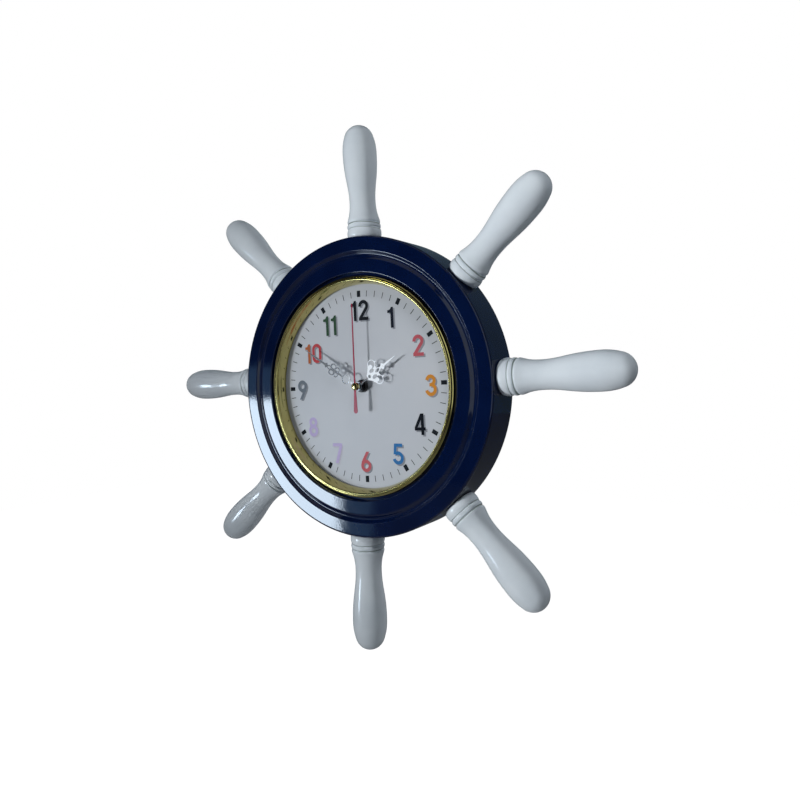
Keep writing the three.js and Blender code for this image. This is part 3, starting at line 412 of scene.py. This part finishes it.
def arc(centre, radius, start, end, steps):
    """Points of a round stretch from one angle to another, in degrees."""
    points = []
    for i in range(steps + 1):
        angle = math.radians(start + (end - start) * i / steps)
        points.append((centre[0] + radius * math.cos(angle), centre[1] + radius * math.sin(angle)))
    return points


def bezier(controls, steps):
    """Points of a curve with two, three or four control points."""
    points = []
    for i in range(steps + 1):
        t = i / steps
        row = [Vector(control) for control in controls]
        while len(row) > 1:
            row = [a.lerp(b, t) for a, b in zip(row, row[1:])]
        points.append(tuple(row[0]))
    return points


def plate_mesh(outline, front, thickness, name):
    """A flat plate with an outline of (x, z) points, parallel to the dial and closed on all sides."""
    builder = bmesh.new()
    near = [builder.verts.new((x, front, z)) for x, z in outline]
    far = [builder.verts.new((x, front + thickness, z)) for x, z in outline]
    builder.faces.new(near)
    builder.faces.new(list(reversed(far)))
    for i in range(len(outline)):
        j = (i + 1) % len(outline)
        builder.faces.new((near[i], near[j], far[j], far[i]))
    return finish_mesh(builder, name)


def rod_mesh(radius, start, end, place=(0, 0, 0)):
    """A round bar along the Y axis, set aside by place."""
    outline = [(0, start), (radius, start), (radius, end), (0, end)]
    mesh = finish_mesh(turned(outline, 24, closed=False), "rod")
    mesh.transform(Matrix.Translation(Vector(place) * MM))
    return mesh


def boolean(mesh, cutters, operation="DIFFERENCE"):
    """The mesh with each cutter's mesh taken away from it, or joined to it."""
    body = bpy.data.objects.new("blank", mesh)
    bpy.context.scene.collection.objects.link(body)
    helpers = []
    for cutter in cutters:
        helper = bpy.data.objects.new("cutter", cutter)
        bpy.context.scene.collection.objects.link(helper)
        helpers.append(helper)
        modifier = body.modifiers.new("cut", "BOOLEAN")
        modifier.operation = operation
        modifier.solver = "EXACT"
        modifier.object = helper
    graph = bpy.context.evaluated_depsgraph_get()
    result = bpy.data.meshes.new_from_object(body.evaluated_get(graph))
    for helper in [body, *helpers]:
        bpy.data.objects.remove(helper)
    return result


def clock_turn(degrees):
    """Turns clockwise as seen from the front."""
    return Matrix.Rotation(math.radians(degrees), 4, "Y")


def oval(across, along, half_across, half_along, steps=28):
    """Outline of an oval about (across, along), where along is away from a hand's hub."""
    points = []
    for i in range(steps):
        angle = 2 * math.pi * i / steps
        points.append((across + half_across * math.cos(angle), along + half_along * math.sin(angle)))
    return points


def mirrored(points):
    """An outline and its mirror image on a hand's other side."""
    return [points, [(-x, z) for x, z in reversed(points)]]


# Wooden wheel body

def ogee(start, end):
    """An S-curve between two points of (radius, depth below the front face)."""
    points = []
    for i in range(13):
        share = i / 12
        fall = (1 - math.cos(math.pi * share)) / 2
        points.append((start[0] + (end[0] - start[0]) * share, FRONT + start[1] + (end[1] - start[1]) * fall))
    return points


def wheel_outline():
    return [
        (OPENING_RADIUS, DIAL_FACE),
        (OPENING_RADIUS, FRONT + REBATE_DEPTH),
        (REBATE_RADIUS, FRONT + REBATE_DEPTH),
        *arc((REBATE_RADIUS + 0.8, FRONT + 0.8), 0.8, 180, 270, 5),
        (REBATE_RADIUS + 1, FRONT),
        (GROOVE_START - 0.2, FRONT),
        *ogee((GROOVE_START, 0), (GROOVE_FLOOR_START, GROOVE_DEPTH)),
        *ogee((GROOVE_FLOOR_END, GROOVE_DEPTH), (GROOVE_END, 0)),
        (GROOVE_END + 0.2, FRONT),
        (WHEEL_RADIUS - 2.2, FRONT),
        *arc((WHEEL_RADIUS - 2, FRONT + 2), 2, 270, 360, 8),
        (WHEEL_RADIUS, FRONT + 2.2),
        (WHEEL_RADIUS, -1.2),
        *arc((WHEEL_RADIUS - 1, -1), 1, 0, 90, 5),
        (WHEEL_RADIUS - 1.2, 0),
        (RECESS_RADIUS, 0),
        (RECESS_RADIUS, DIAL_FACE),
    ]


def handle_place(index):
    """Carries a handle, which stands on y = 0 along +Y, to its place on the wheel."""
    lean = HANDLE_LEAN[index]
    foot = HANDLE_START / math.cos(math.radians(lean))
    seat = Matrix.Translation(Vector((0, HANDLE_PLANE, foot)) * MM)
    upright = Matrix.Rotation(math.pi / 2, 4, "X")
    angle = 360 / HANDLE_COUNT * index + HANDLE_SKEW[index]
    return clock_turn(angle) @ seat @ clock_turn(lean) @ upright


def slot_outline(width, height, centre_z):
    """Outline of a slot with round ends."""
    half = (width - height) / 2
    right = arc((half, centre_z), height / 2, -90, 90, 12)
    left = arc((-half, centre_z), height / 2, 90, 270, 12)
    return right + left


def dowel_holes():
    holes = []
    for index in range(HANDLE_COUNT):
        hole = rod_mesh(DOWEL_BORE, -BORE_IN_WHEEL, 5)
        hole.transform(handle_place(index))
        holes.append(hole)
    return holes


def hanger_holes():
    """The recess of the hanger plate, the room for a nail's head behind it, and its two screw holes."""
    recess = plate_mesh(slot_outline(42.6, 16.6, HANGER_RADIUS), -1.8, 3, "plate_room")
    nail_room = plate_mesh([(-5.1, 105.9), (5.1, 105.9), (5.1, 119.3), (-5.1, 119.3)], -8, 9, "block")
    screws = [rod_mesh(1.8, -10.3, 1, (side * HANGER_SCREW_SPREAD, 0, HANGER_RADIUS)) for side in (-1, 1)]
    return [recess, nail_room, *screws]


def board_screw_holes():
    """The four holes in the ledge behind the dial's board."""
    holes = []
    for index in range(4):
        hole = rod_mesh(1.7, DIAL_FACE - 5.8, DIAL_FACE + 1, (0, 0, SCREW_RING_RADIUS))
        hole.transform(clock_turn(DIAL_TURN + 45 + 90 * index))
        holes.append(hole)
    return holes


def make_wheel_body():
    blank = finish_mesh(turned(wheel_outline(), WHEEL_SEGMENTS), "wheel_blank")
    mesh = boolean(blank, dowel_holes() + hanger_holes() + board_screw_holes())
    mesh.set_sharp_from_angle(angle=math.radians(35))
    piece = add_piece("painted_wheel", mesh, FINISHES["navy_paint"])
    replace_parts(piece, "wheel_body")


# Handles

def handle_outline():
    """Outline of one turned handle, from its foot to its round end."""
    neck = (HANDLE_NECK_RADIUS, NECK_PLACE)
    belly = (HANDLE_BELLY_RADIUS, BELLY_PLACE)
    end = arc((0, HANDLE_LENGTH - HANDLE_END_RADIUS), HANDLE_END_RADIUS, 12, 90, 12)
    foot = bezier([(13.4, 0.15), (15.1, 1.1), (15.2, 6.2), (13.9, 8.1)], 12)
    ring = bezier([(13.9, 8.7), (14.7, 9.1), (14.7, 11.4), (13.9, 12.2)], 10)
    collar = bezier([(13.9, 13.5), (14.3, 14.3), (14.1, 15.4), (13.6, 16.8)], 8)
    waist = bezier([(13.6, 16.8), (12.8, 19.6), (HANDLE_NECK_RADIUS, NECK_PLACE - 9), neck], 12)
    rise = [(HANDLE_NECK_RADIUS, NECK_PLACE + 15), (HANDLE_BELLY_RADIUS, BELLY_PLACE - 22)]
    swell = bezier([neck, *rise, belly], 16)
    shoulder = bezier([belly, (HANDLE_BELLY_RADIUS, BELLY_PLACE + 8), end[0]], 8)
    return [
        (DOWEL_BORE, 0), (13.2, 0), *foot, (13.6, 8.4), *ring, (13.1, 12.6), (13.1, 13.1), *collar,
        *waist[1:], *swell[1:], *shoulder[1:], *end[1:],
    ]


def make_handles():
    bore = [(0, BORE_IN_HANDLE), (DOWEL_BORE, BORE_IN_HANDLE)]
    outline = bore + handle_outline()
    for index in range(HANDLE_COUNT):
        builder = turned(outline, 48, closed=False)
        mesh = finish_mesh(builder, f"turned_handle_{index + 1}", 60)
        mesh.transform(handle_place(index))
        piece = add_piece(f"turned_handle_{index + 1}", mesh, FINISHES["white_paint"])
        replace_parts(piece, f"handle_{index + 1}")


# Brass bezel

def bezel_outline():
    """The inner wall from its foot, the inner bead, the outer bead, and the back."""
    bead_depth = BEZEL_CROWN + BEAD_RADIUS
    wall = []
    for share in (0, 0.03, 0.25, 0.45, 0.6, 0.7, 0.78, 0.86, 0.92, 0.98):
        radius = WALL_FOOT_RADIUS + WALL_LEAN * share ** 1.9
        wall.append((radius, WALL_FOOT + (bead_depth - WALL_FOOT) * share))
    inner_bead = arc((BEAD_CENTRE, bead_depth), BEAD_RADIUS, 180, 330, 14)
    quarter = arc((0, 0), 1, 270, 360, 12)
    outer_bead = [(BEZEL_RADIUS - 2 + x * 2, FRONT + 1.3 + y * 1.3) for x, y in quarter]
    back = FRONT + REBATE_DEPTH
    return [
        *wall, *inner_bead, (91.32, FRONT + 0.16), *outer_bead, (BEZEL_RADIUS, back),
        (89.9, back), (WALL_FOOT_RADIUS + 0.9, WALL_FOOT),
    ]


def make_bezel():
    mesh = finish_mesh(turned(bezel_outline(), WHEEL_SEGMENTS), "polished_bezel", 40)
    piece = add_piece("polished_bezel", mesh, FINISHES["brass"])
    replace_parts(piece, "bezel")


# Printed dial

# The lilac inks of 7 and 8 are the print's own colour lightened by painted glare, the haze of a reflection
# over that part of the dial.
INKS = {
    "1": (20, 24, 36), "2": (176, 84, 94), "3": (196, 130, 50), "4": (12, 16, 24), "5": (52, 112, 172),
    "6": (190, 96, 104), "7": (190, 180, 222), "8": (188, 178, 222), "9": (108, 118, 130),
    "11": (48, 74, 56), "12": (22, 26, 32),
}
TEN_INKS = [(168, 96, 62), (180, 70, 76)]
NUMERAL_PLACES = {
    "12": (-1, 64.8), "1": (31.5, 56), "2": (57, 31), "3": (67, -1.9), "4": (55, -33), "5": (32.4, -57.5),
    "6": (-0.6, -64.7), "7": (-30.6, -57.8), "8": (-57, -34.7), "9": (-67.8, -1.2), "10": (-54.4, 31),
    "11": (-33, 54.4),
}


def ribbon(points, width=STROKE, closed=False):
    """A flat band along a line of points, with mitred turns, as a list of four-cornered faces."""
    count = len(points)
    left, right = [], []
    for i, point in enumerate(points):
        before = points[i - 1] if i > 0 or closed else point
        after = points[(i + 1) % count] if i < count - 1 or closed else point
        one = Vector(point) - Vector(before)
        two = Vector(after) - Vector(point)
        one = one.normalized() if one.length > 0 else two.normalized()
        two = two.normalized() if two.length > 0 else one
        along = (one + two).normalized()
        reach = width / 2 / max(0.3, along.dot(two))
        across = Vector((-along.y, along.x)) * reach
        left.append(tuple(Vector(point) + across))
        right.append(tuple(Vector(point) - across))
    quads = []
    for i in range(count if closed else count - 1):
        j = (i + 1) % count
        quads.append([right[i], right[j], left[j], left[i]])
    return quads


def digit_faces(digit):
    """Faces of one digit about its centre, 17.4 high."""
    if digit == "0":
        ring = arc((0, 3.4), 3.85, 0, 180, 14) + arc((0, -3.4), 3.85, 180, 360, 14)
        return ribbon(ring, 2.8, closed=True)
    if digit == "1":
        return [
            [(0.1, -8.7), (3.0, -8.7), (3.0, 8.7), (0.9, 8.7), (0.1, 7.2)],
            [(0.1, 7.2), (-0.9, 6.4), (-2.9, 6.1), (-2.9, 3.9), (0.1, 3.9)],
        ]
    if digit == "2":
        line = arc((0, 3.6), 3.7, 185, -28, 16) + [(-3.0, -6.3), (-3.2, -7.3)]
        return ribbon(line) + [[(-5.0, -8.7), (5.0, -8.7), (5.0, -5.9), (-5.0, -5.9)]]
    if digit == "3":
        upper = arc((-0.1, 3.95), 3.35, 175, -72, 14)
        lower = arc((-0.1, -3.3), 3.95, 78, -172, 16)
        middle = [[(-1.3, -0.9), (1.2, -0.9), (1.2, 1.9), (-1.3, 1.9)]]
        return ribbon(upper) + ribbon(lower) + middle
    if digit == "4":
        return [
            [(0.9, -8.7), (3.7, -8.7), (3.7, 8.7), (0.9, 8.7)],
            [(-5.2, -5.1), (5.2, -5.1), (5.2, -2.5), (-5.2, -2.5)],
            [(-5.2, -2.5), (-2.3, -2.5), (0.95, 3.6), (0.95, 8.7), (0.6, 8.7)],
        ]
    if digit == "5":
        bowl = arc((-0.1, -3.2), 4.05, 128, -168, 18)
        return ribbon(bowl) + [
            [(-3.9, 6.0), (4.4, 6.0), (4.4, 8.7), (-3.6, 8.7)],
            [(-4.5, -0.4), (-1.9, -0.1), (-1.2, 6.0), (-3.9, 6.0)],
        ]
    if digit == "6":
        tail = [(-5.15, -2.2), (-4.4, 0.2), (0.5, 8.7), (3.7, 8.7), (-1.1, 0.4), (-2.4, -2.2)]
        return ribbon(arc((0, -3.4), 3.85, 0, 360, 28)[:-1], closed=True) + [tail]
    if digit == "7":
        return [
            [(-5.1, 5.9), (5.1, 5.9), (5.1, 8.7), (-5.1, 8.7)],
            [(2.0, 5.9), (-2.9, -8.7), (0.4, -8.7), (5.1, 5.9)],
        ]
    if digit == "8":
        upper = ribbon(arc((0, 4.1), 3.15, 0, 360, 24)[:-1], 2.7, closed=True)
        return upper + ribbon(arc((0, -3.5), 3.8, 0, 360, 28)[:-1], closed=True)
    upside_down_six = [[(-x, -z) for x, z in face] for face in digit_faces("6")]
    return upside_down_six


def flat_faces(faces, shift, lift, name):
    """A printed mesh in the dial's plane: each face a little above the last, so that none coincide."""
    builder = bmesh.new()
    for i, face in enumerate(faces):
        y = DIAL_FACE - lift - 0.0004 * i
        builder.faces.new([builder.verts.new((x + shift[0], y, z + shift[1])) for x, z in face])
    bmesh.ops.scale(builder, verts=builder.verts, vec=(MM, MM, MM))
    for face in builder.faces:
        if face.normal.y > 0:
            face.normal_flip()
    mesh = bpy.data.meshes.new(name)
    builder.to_mesh(mesh)
    builder.free()
    mesh.transform(clock_turn(DIAL_TURN))
    return mesh


def numeral_parts(text):
    """Each digit of a numeral with its place on the dial."""
    x, z = NUMERAL_PLACES[text]
    if len(text) == 1:
        return [(text, (x, z))]
    spread = 4.3 if text == "11" else 5.2
    return [(text[0], (x - spread, z)), (text[1], (x + spread, z))]


def make_numerals():
    shadow_ink = printed("shadow_ink", (132, 137, 146))
    # Painted glare: the printed shadows of 7 and 8 are lightened almost to the dial's colour, as a
    # reflection's haze washes them out.
    glare_washed_shadow = printed("glare_washed_shadow_ink", (186, 188, 200))
    for text in NUMERAL_PLACES:
        glare_washed = text in ("7", "8")
        for place, (digit, centre) in enumerate(numeral_parts(text)):
            color = TEN_INKS[place] if text == "10" else INKS[text]
            name = f"numeral_{text}" if len(text) == 1 else f"numeral_{text}_{place + 1}"
            ink = printed(f"ink_{text}_{place + 1}", color)
            faces = digit_faces(digit)
            add_piece(name, flat_faces(faces, centre, PRINT_LIFT + 0.03, name), ink)
            below = (centre[0] + PRINT_SHADOW[0], centre[1] + PRINT_SHADOW[1])
            shadow = flat_faces(faces, below, PRINT_LIFT, name + "_shadow")
            add_piece(name + "_shadow", shadow, glare_washed_shadow if glare_washed else shadow_ink)


def ring_tree():
    """A tree that sets blocks in a ring about the clock's axis."""
    tree = bpy.data.node_groups.new("ring_of_blocks", "GeometryNodeTree")
    sockets = {"Count": "NodeSocketInt", "Radius": "NodeSocketFloat", "Depth": "NodeSocketFloat",
               "Start": "NodeSocketFloat", "Size": "NodeSocketVector", "Finish": "NodeSocketMaterial"}
    for name, kind in sockets.items():
        tree.interface.new_socket(name, in_out="INPUT", socket_type=kind)
    tree.interface.new_socket("Blocks", in_out="OUTPUT", socket_type="NodeSocketGeometry")
    given = tree.nodes.new("NodeGroupInput")
    made = tree.nodes.new("NodeGroupOutput")

    def node(kind, settings, links):
        item = tree.nodes.new(kind)
        for setting, value in settings.items():
            setattr(item, setting, value)
        for socket, source in links.items():
            if isinstance(source, bpy.types.NodeSocket):
                tree.links.new(source, item.inputs[socket])
            else:
                item.inputs[socket].default_value = source
        return item

    def maths(operation, *values):
        return node("ShaderNodeMath", {"operation": operation}, dict(enumerate(values))).outputs[0]

    index = node("GeometryNodeInputIndex", {}, {}).outputs[0]
    step = maths("DIVIDE", 2 * math.pi, given.outputs["Count"])
    turn = maths("MULTIPLY_ADD", index, step, given.outputs["Start"])
    x = maths("MULTIPLY", maths("SINE", turn), given.outputs["Radius"])
    z = maths("MULTIPLY", maths("COSINE", turn), given.outputs["Radius"])
    place = node("ShaderNodeCombineXYZ", {}, {0: x, 1: given.outputs["Depth"], 2: z}).outputs[0]
    lean = node("ShaderNodeCombineXYZ", {}, {1: turn}).outputs[0]
    points = node("GeometryNodePoints", {}, {"Count": given.outputs["Count"], "Position": place}).outputs[0]
    block = node("GeometryNodeMeshCube", {}, {"Size": given.outputs["Size"]}).outputs[0]
    ring = node("GeometryNodeInstanceOnPoints", {}, {"Points": points, "Instance": block}).outputs[0]
    rotated = node("GeometryNodeRotateInstances", {}, {"Instances": ring, "Rotation": lean}).outputs[0]
    real = node("GeometryNodeRealizeInstances", {}, {"Geometry": rotated}).outputs[0]
    painted = node("GeometryNodeSetMaterial", {}, {"Geometry": real, "Material": given.outputs["Finish"]})
    tree.links.new(painted.outputs[0], made.inputs[0])
    return tree


RING_TREE = ring_tree()


def ring_of_blocks(name, count, radius, depth, size, material):
    """A plain mesh of blocks in a ring, made by the ring tree."""
    piece = bpy.data.objects.new(name, bpy.data.meshes.new(name))
    bpy.context.scene.collection.objects.link(piece)
    modifier = piece.modifiers.new("ring", "NODES")
    values = {
        "Count": count,
        "Radius": radius * MM,
        "Depth": depth * MM,
        "Start": math.radians(DIAL_TURN),
        "Size": tuple(part * MM for part in size),
        "Finish": material,
    }
    modifier.node_group = RING_TREE
    for item in RING_TREE.interface.items_tree:
        if item.name in values:
            modifier[item.identifier] = values[item.name]
    graph = bpy.context.evaluated_depsgraph_get()
    mesh = bpy.data.meshes.new_from_object(piece.evaluated_get(graph))
    bpy.data.objects.remove(piece)
    return mesh


def make_minute_marks():
    ink = printed("mark_ink", (24, 28, 34))
    depth = DIAL_FACE - PRINT_LIFT
    ticks = ring_of_blocks("minute_ticks", 60, MARK_RADIUS, depth, TICK_SIZE, ink)
    add_piece("minute_ticks", ticks, ink)
    blocks = ring_of_blocks("hour_blocks", 12, MARK_RADIUS + 0.1, depth - 0.01, BLOCK_SIZE, ink)
    add_piece("hour_blocks", blocks, ink)


# Hands

def hand_mesh(name, shapes, openings, leaves, height, bore, bevel):
    """Shapes joined to one plate, its openings and bore cut, then the leaves inside the openings added."""
    front = DIAL_FACE - height
    plates = [plate_mesh(shape, front, HAND_THICKNESS, name) for shape in shapes]
    mesh = boolean(plates[0], plates[1:], "UNION")
    holes = openings + [oval(0, 0, bore, bore, 32)]
    mesh = boolean(mesh, [plate_mesh(hole, front - 1, 2.5, name) for hole in holes])
    inside = [plate_mesh(leaf, front, HAND_THICKNESS, name) for leaf in leaves]
    if inside:
        mesh = boolean(mesh, inside, "UNION")
    return eased(mesh, bevel)


def eased(mesh, width):
    """The mesh with its outline's edges rounded off."""
    piece = bpy.data.objects.new("eased", mesh)
    bpy.context.scene.collection.objects.link(piece)
    modifier = piece.modifiers.new("bevel", "BEVEL")
    modifier.width = width * MM
    modifier.segments = 2
    modifier.limit_method = "ANGLE"
    modifier.angle_limit = math.radians(50)
    modifier.use_clamp_overlap = True
    graph = bpy.context.evaluated_depsgraph_get()
    result = bpy.data.meshes.new_from_object(piece.evaluated_get(graph))
    bpy.data.objects.remove(piece)
    result.set_sharp_from_angle(angle=math.radians(20))
    return result


def spear(foot, tip, half, barb):
    """Outline of a hand's point, with two barbs at its foot."""
    middle = (half * 0.9, foot + (tip - foot) * 0.45)
    right = [(barb * 1.1, foot), (half, foot + barb * 0.9), middle, (0.12, tip)]
    left = [(-x, z) for x, z in reversed(right)]
    return [(0, foot - barb), *right, *left]


def hour_hand_mesh():
    shapes = [
        oval(0, 0, 3.7, 3.7, 40),
        [(-1, 26), (1, 26), (1, 31), (-1, 31)],
        oval(0, 24.4, 2.1, 3.2),
        spear(30.4, 45.7, 0.9, 2.6),
        *mirrored([(-0.1, 12.4), (2.3, 12.7), (4, 14.9), (9, 18.7), (7, 24.6), (-0.1, 24.6)]),
        *mirrored([(6.3, 25), (8.6, 25), (7.2, 27.9)]),
    ]
    openings = [oval(0, 15, 1.5, 1.4), oval(0, 24.3, 1.35, 2.4)]
    leaves = []
    for side in (-1, 1):
        shapes.append(oval(side * 7.4, 22, 4, 4, 40))
        openings.append(oval(side * 2.9, 19.4, 1.65, 2.5))
        openings.append(oval(side * 7.4, 22.2, 3.45, 3.2, 36))
        leaves.append(oval(side * 6.3, 20.1, 1.9, 1.9, 36))
    plate = hand_mesh("hour_hand", shapes, openings, leaves, HOUR_HAND_HEIGHT, 2.85, 0.16)
    stalk = rod_mesh(0.65, 3.2, 13)
    stalk.transform(Matrix.Rotation(math.pi / 2, 4, "X"))
    stalk.transform(Matrix.Translation((0, (DIAL_FACE - HOUR_HAND_HEIGHT + 0.5) * MM, 0)))
    mesh = boolean(plate, [stalk], "UNION")
    mesh.set_sharp_from_angle(angle=math.radians(20))
    return mesh


def minute_hand_mesh():
    shapes = [
        oval(0, 0, 3.3, 3.3, 40),
        [(-0.9, 0), (0.9, 0), (0.9, 9), (-0.9, 9)],
        oval(0, 12.4, 4.4, 4.4, 44),
        [(-0.9, 16), (0.9, 16), (0.8, 37), (-0.8, 37)],
        oval(0, 33.2, 1.9, 2.7),
        spear(36.8, 64, 0.9, 2.2),
    ]
    openings = [oval(0, 12.6, 3.4, 3.4, 40), oval(0, 33.2, 1, 1.7)]
    for side in (-1, 1):
        shapes.append(oval(side * 2.4, 24, 2.4, 2.4))
        shapes.append(oval(side * 2.8, 29.2, 2.5, 3.2))
        openings.append(oval(side * 2.4, 24, 1.3, 1.6))
        openings.append(oval(side * 2.8, 29.2, 1.5, 2.1))
    return hand_mesh("minute_hand", shapes, openings, [], MINUTE_HAND_HEIGHT, 2.0, 0.18)


def second_hand_mesh():
    tail = arc((0, -20.8), 1.9, 180, 360, 14)
    blade = [(-0.4, 70), (-0.75, 0), *tail, (0.75, 0), (0.4, 70)]
    shapes = [list(reversed(blade)), oval(0, 0, 2.7, 2.7, 32)]
    return hand_mesh("second_hand", shapes, [], [], SECOND_HAND_HEIGHT, 1.55, 0.12)


def make_hands():
    hands = [
        ("filigree_hour_hand", hour_hand_mesh(), HOUR_HAND_TURN, "silver", "hours", "hour_hand"),
        ("filigree_minute_hand", minute_hand_mesh(), MINUTE_HAND_TURN, "silver", "minutes", "minute_hand"),
        ("sweep_second_hand", second_hand_mesh(), SECOND_HAND_TURN, "red_lacquer", "seconds", "second_hand"),
    ]
    for name, mesh, turn, slot, body, node in hands:
        mesh.transform(clock_turn(turn + DIAL_TURN))
        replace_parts(add_piece(name, mesh, FINISHES[slot], body), node)


def make_second_boss():
    """The domed brass boss on the second hand, with the collar and bore behind it."""
    crown = DIAL_FACE - BOSS_HEIGHT
    rim = crown + 0.8
    back = crown + 1.85
    bore_end = crown + 0.4
    dome = bezier([(0, crown), (2.3, crown), (3.1, crown + 0.5), (3.1, rim)], 10)
    inside = [(1.25, rim), (1.25, back), (0.9, back), (0.9, bore_end), (0, bore_end)]
    boss = finish_mesh(turned(dome + inside, 48, closed=False), "domed_boss")
    plain_brass = brass("plain_brass", lathe_marks=False)
    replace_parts(add_piece("domed_boss", boss, plain_brass, "seconds"), "second_boss")


def make_stem_nut():
    rim = arc((4.8, DIAL_FACE - 2.4), 0.6, 0, -90, 5)
    outline = [(4.3, DIAL_FACE), (5.4, DIAL_FACE), *rim, (4.3, DIAL_FACE - 3)]
    mesh = finish_mesh(turned(outline, 64), "round_stem_nut")
    piece = add_piece("round_stem_nut", mesh, FINISHES["black_plastic"])
    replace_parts(piece, "stem_nut")


def paint_frame():
    """Every node of the CAD frame takes the finish of its record slot."""
    slots = {entry["node"]: entry["material_slot"] for entry in frame["record"]["subparts"]}
    for name, piece in frame["nodes"].items():
        piece.data.materials.clear()
        piece.data.materials.append(FINISHES[slots[name]])


# Camera, lights and surroundings, in metres

def make_camera():
    """The camera, fitted to the handles' ends and the minute marks."""
    data = bpy.data.cameras.new("camera")
    data.sensor_width = 36
    data.lens = 30.197
    data.shift_x = -0.00103
    data.shift_y = -0.05379
    camera = bpy.data.objects.new("camera", data)
    camera.location = (0.336805, -0.491686, 0.022)
    camera.rotation_euler = Euler([math.radians(angle) for angle in (90.25727, 0.45232, 32.60448)])
    bpy.context.scene.collection.objects.link(camera)
    bpy.context.scene.camera = camera


def add_lamp(name, kind, place, target, watts, color=(1, 1, 1)):
    data = bpy.data.lights.new(name, kind)
    data.energy = watts
    data.color = color
    lamp = bpy.data.objects.new(name, data)
    lamp.location = place
    lamp.rotation_euler = (Vector(target) - Vector(place)).to_track_quat("-Z", "Y").to_euler()
    lamp.visible_camera = False
    bpy.context.scene.collection.objects.link(lamp)
    return lamp


def add_pane(name, place, width, height, brightness, color=(1, 1, 1), target=None, mirrored=True):
    """A rectangle of light, parallel to the clock unless it has a target.

    It is either seen mirrored in gloss, or gives plain light that no gloss shows.
    """
    ahead = (place[0], 0, place[2])
    lamp = add_lamp(name, "AREA", place, target or ahead, brightness * math.pi * width * height, color)
    lamp.data.shape = "RECTANGLE"
    lamp.data.size = width
    lamp.data.size_y = height
    lamp.visible_glossy = mirrored
    lamp.visible_diffuse = not mirrored


def make_lights():
    """A window to the left, whose panes are seen in the gloss, and plain light from the room and the wall."""
    window = add_lamp("window", "SPOT", (-1.112, -1.888, -0.192), (0.29, 0, 0.1), 140)
    window.data.shadow_soft_size = 0.14
    window.data.spot_size = math.radians(27)
    window.data.spot_blend = 1
    window.visible_glossy = False
    add_pane("middle_pane", (-1.06, -1.6, -0.01), 0.26, 0.18, 0.9)
    add_pane("left_pane", (-1.32, -1.6, 0.01), 0.26, 0.22, 0.14)
    add_pane("low_pane", (-1.5, -1.6, -0.42), 0.53, 0.57, 19, (0.71, 0.85, 1.0))
    add_pane("left_frame", (-1.67, -1.62, -0.36), 0.26, 0.72, 0.8, (0.3, 0.6, 1.0))
    add_pane("right_frame", (-1.17, -1.62, -0.42), 0.14, 0.6, 0.8, (0.3, 0.6, 1.0))
    add_pane("pale_side_wall", (1.1, -1.1, 0.6), 1.4, 2.2, 0.75, (0.86, 0.95, 1.0), target=(0, 0, 0.3))
    add_pane("far_left", (-1.9, -0.3, 0.2), 1.4, 1.6, 0.25, target=(0, 0, 0))
    add_pane("ceiling", (-0.2, -0.9, 1.8), 1.6, 1.2, 0.3, target=(0, 0, 0))
    add_pane("room", (0.55, -0.55, 0.65), 0.3, 0.3, 8, target=(0.1, 0, 0.05), mirrored=False)
    add_pane("wall", (0.15, 1.2, 0.3), 1.2, 1.2, 1.8, target=(0, 0, 0), mirrored=False)


def make_world():
    """White behind the clock; for gloss, a dim room in front and a paler wall behind."""
    world = bpy.data.worlds.new("room")
    world.use_nodes = True
    bpy.context.scene.world = world
    tree = world.node_tree
    light = tree.nodes["Background"]
    path = tree.nodes.new("ShaderNodeLightPath")
    split = tree.nodes.new("ShaderNodeSeparateXYZ")
    depth = tree.nodes.new("ShaderNodeMapRange")
    depth.inputs["From Min"].default_value = -0.2
    depth.inputs["From Max"].default_value = 0.6
    tree.links.new(tree.nodes.new("ShaderNodeTexCoord").outputs["Generated"], split.inputs[0])
    tree.links.new(split.outputs["Y"], depth.inputs["Value"])

    def blend(factor, first, second):
        made = tree.nodes.new("ShaderNodeMix")
        made.data_type = "RGBA"
        tree.links.new(factor, made.inputs[0])
        for socket, value in ((6, first), (7, second)):
            if isinstance(value, tuple):
                made.inputs[socket].default_value = value
            else:
                tree.links.new(value, made.inputs[socket])
        return made.outputs[2]

    mirrored_room = blend(depth.outputs["Result"], (0.02, 0.022, 0.026, 1), (0.06, 0.09, 0.115, 1))
    room = blend(path.outputs["Is Glossy Ray"], (0.068, 0.074, 0.082, 1), mirrored_room)
    tree.links.new(blend(path.outputs["Is Camera Ray"], room, (1, 1, 1, 1)), light.inputs["Color"])


def make_floor():
    """A floor well below the clock, which the camera sees as plain white."""
    builder = bmesh.new()
    bmesh.ops.create_grid(builder, x_segments=1, y_segments=1, size=4)
    mesh = bpy.data.meshes.new("floor")
    builder.to_mesh(mesh)
    builder.free()
    mesh.transform(Matrix.Translation((0, 0, -0.9)))
    floor = bpy.data.objects.new("floor", mesh)
    bpy.context.scene.collection.objects.link(floor)
    finish = Finish("pale_floor", (235, 235, 235), roughness=0.8)
    path = finish.node("ShaderNodeLightPath", {}, {})["Is Camera Ray"]
    finish.shader.inputs["Emission Strength"].default_value = 1.0
    finish.link("Emission Color", finish.mix(path, (0, 0, 0), (255, 255, 255)))
    mesh.materials.append(finish.material)


bpy.context.scene.view_settings.view_transform = "Standard"
make_camera()
paint_frame()
make_wheel_body()
make_handles()
make_bezel()
make_minute_marks()
make_numerals()
make_hands()
make_second_boss()
make_stem_nut()
make_lights()
make_world()
make_floor()
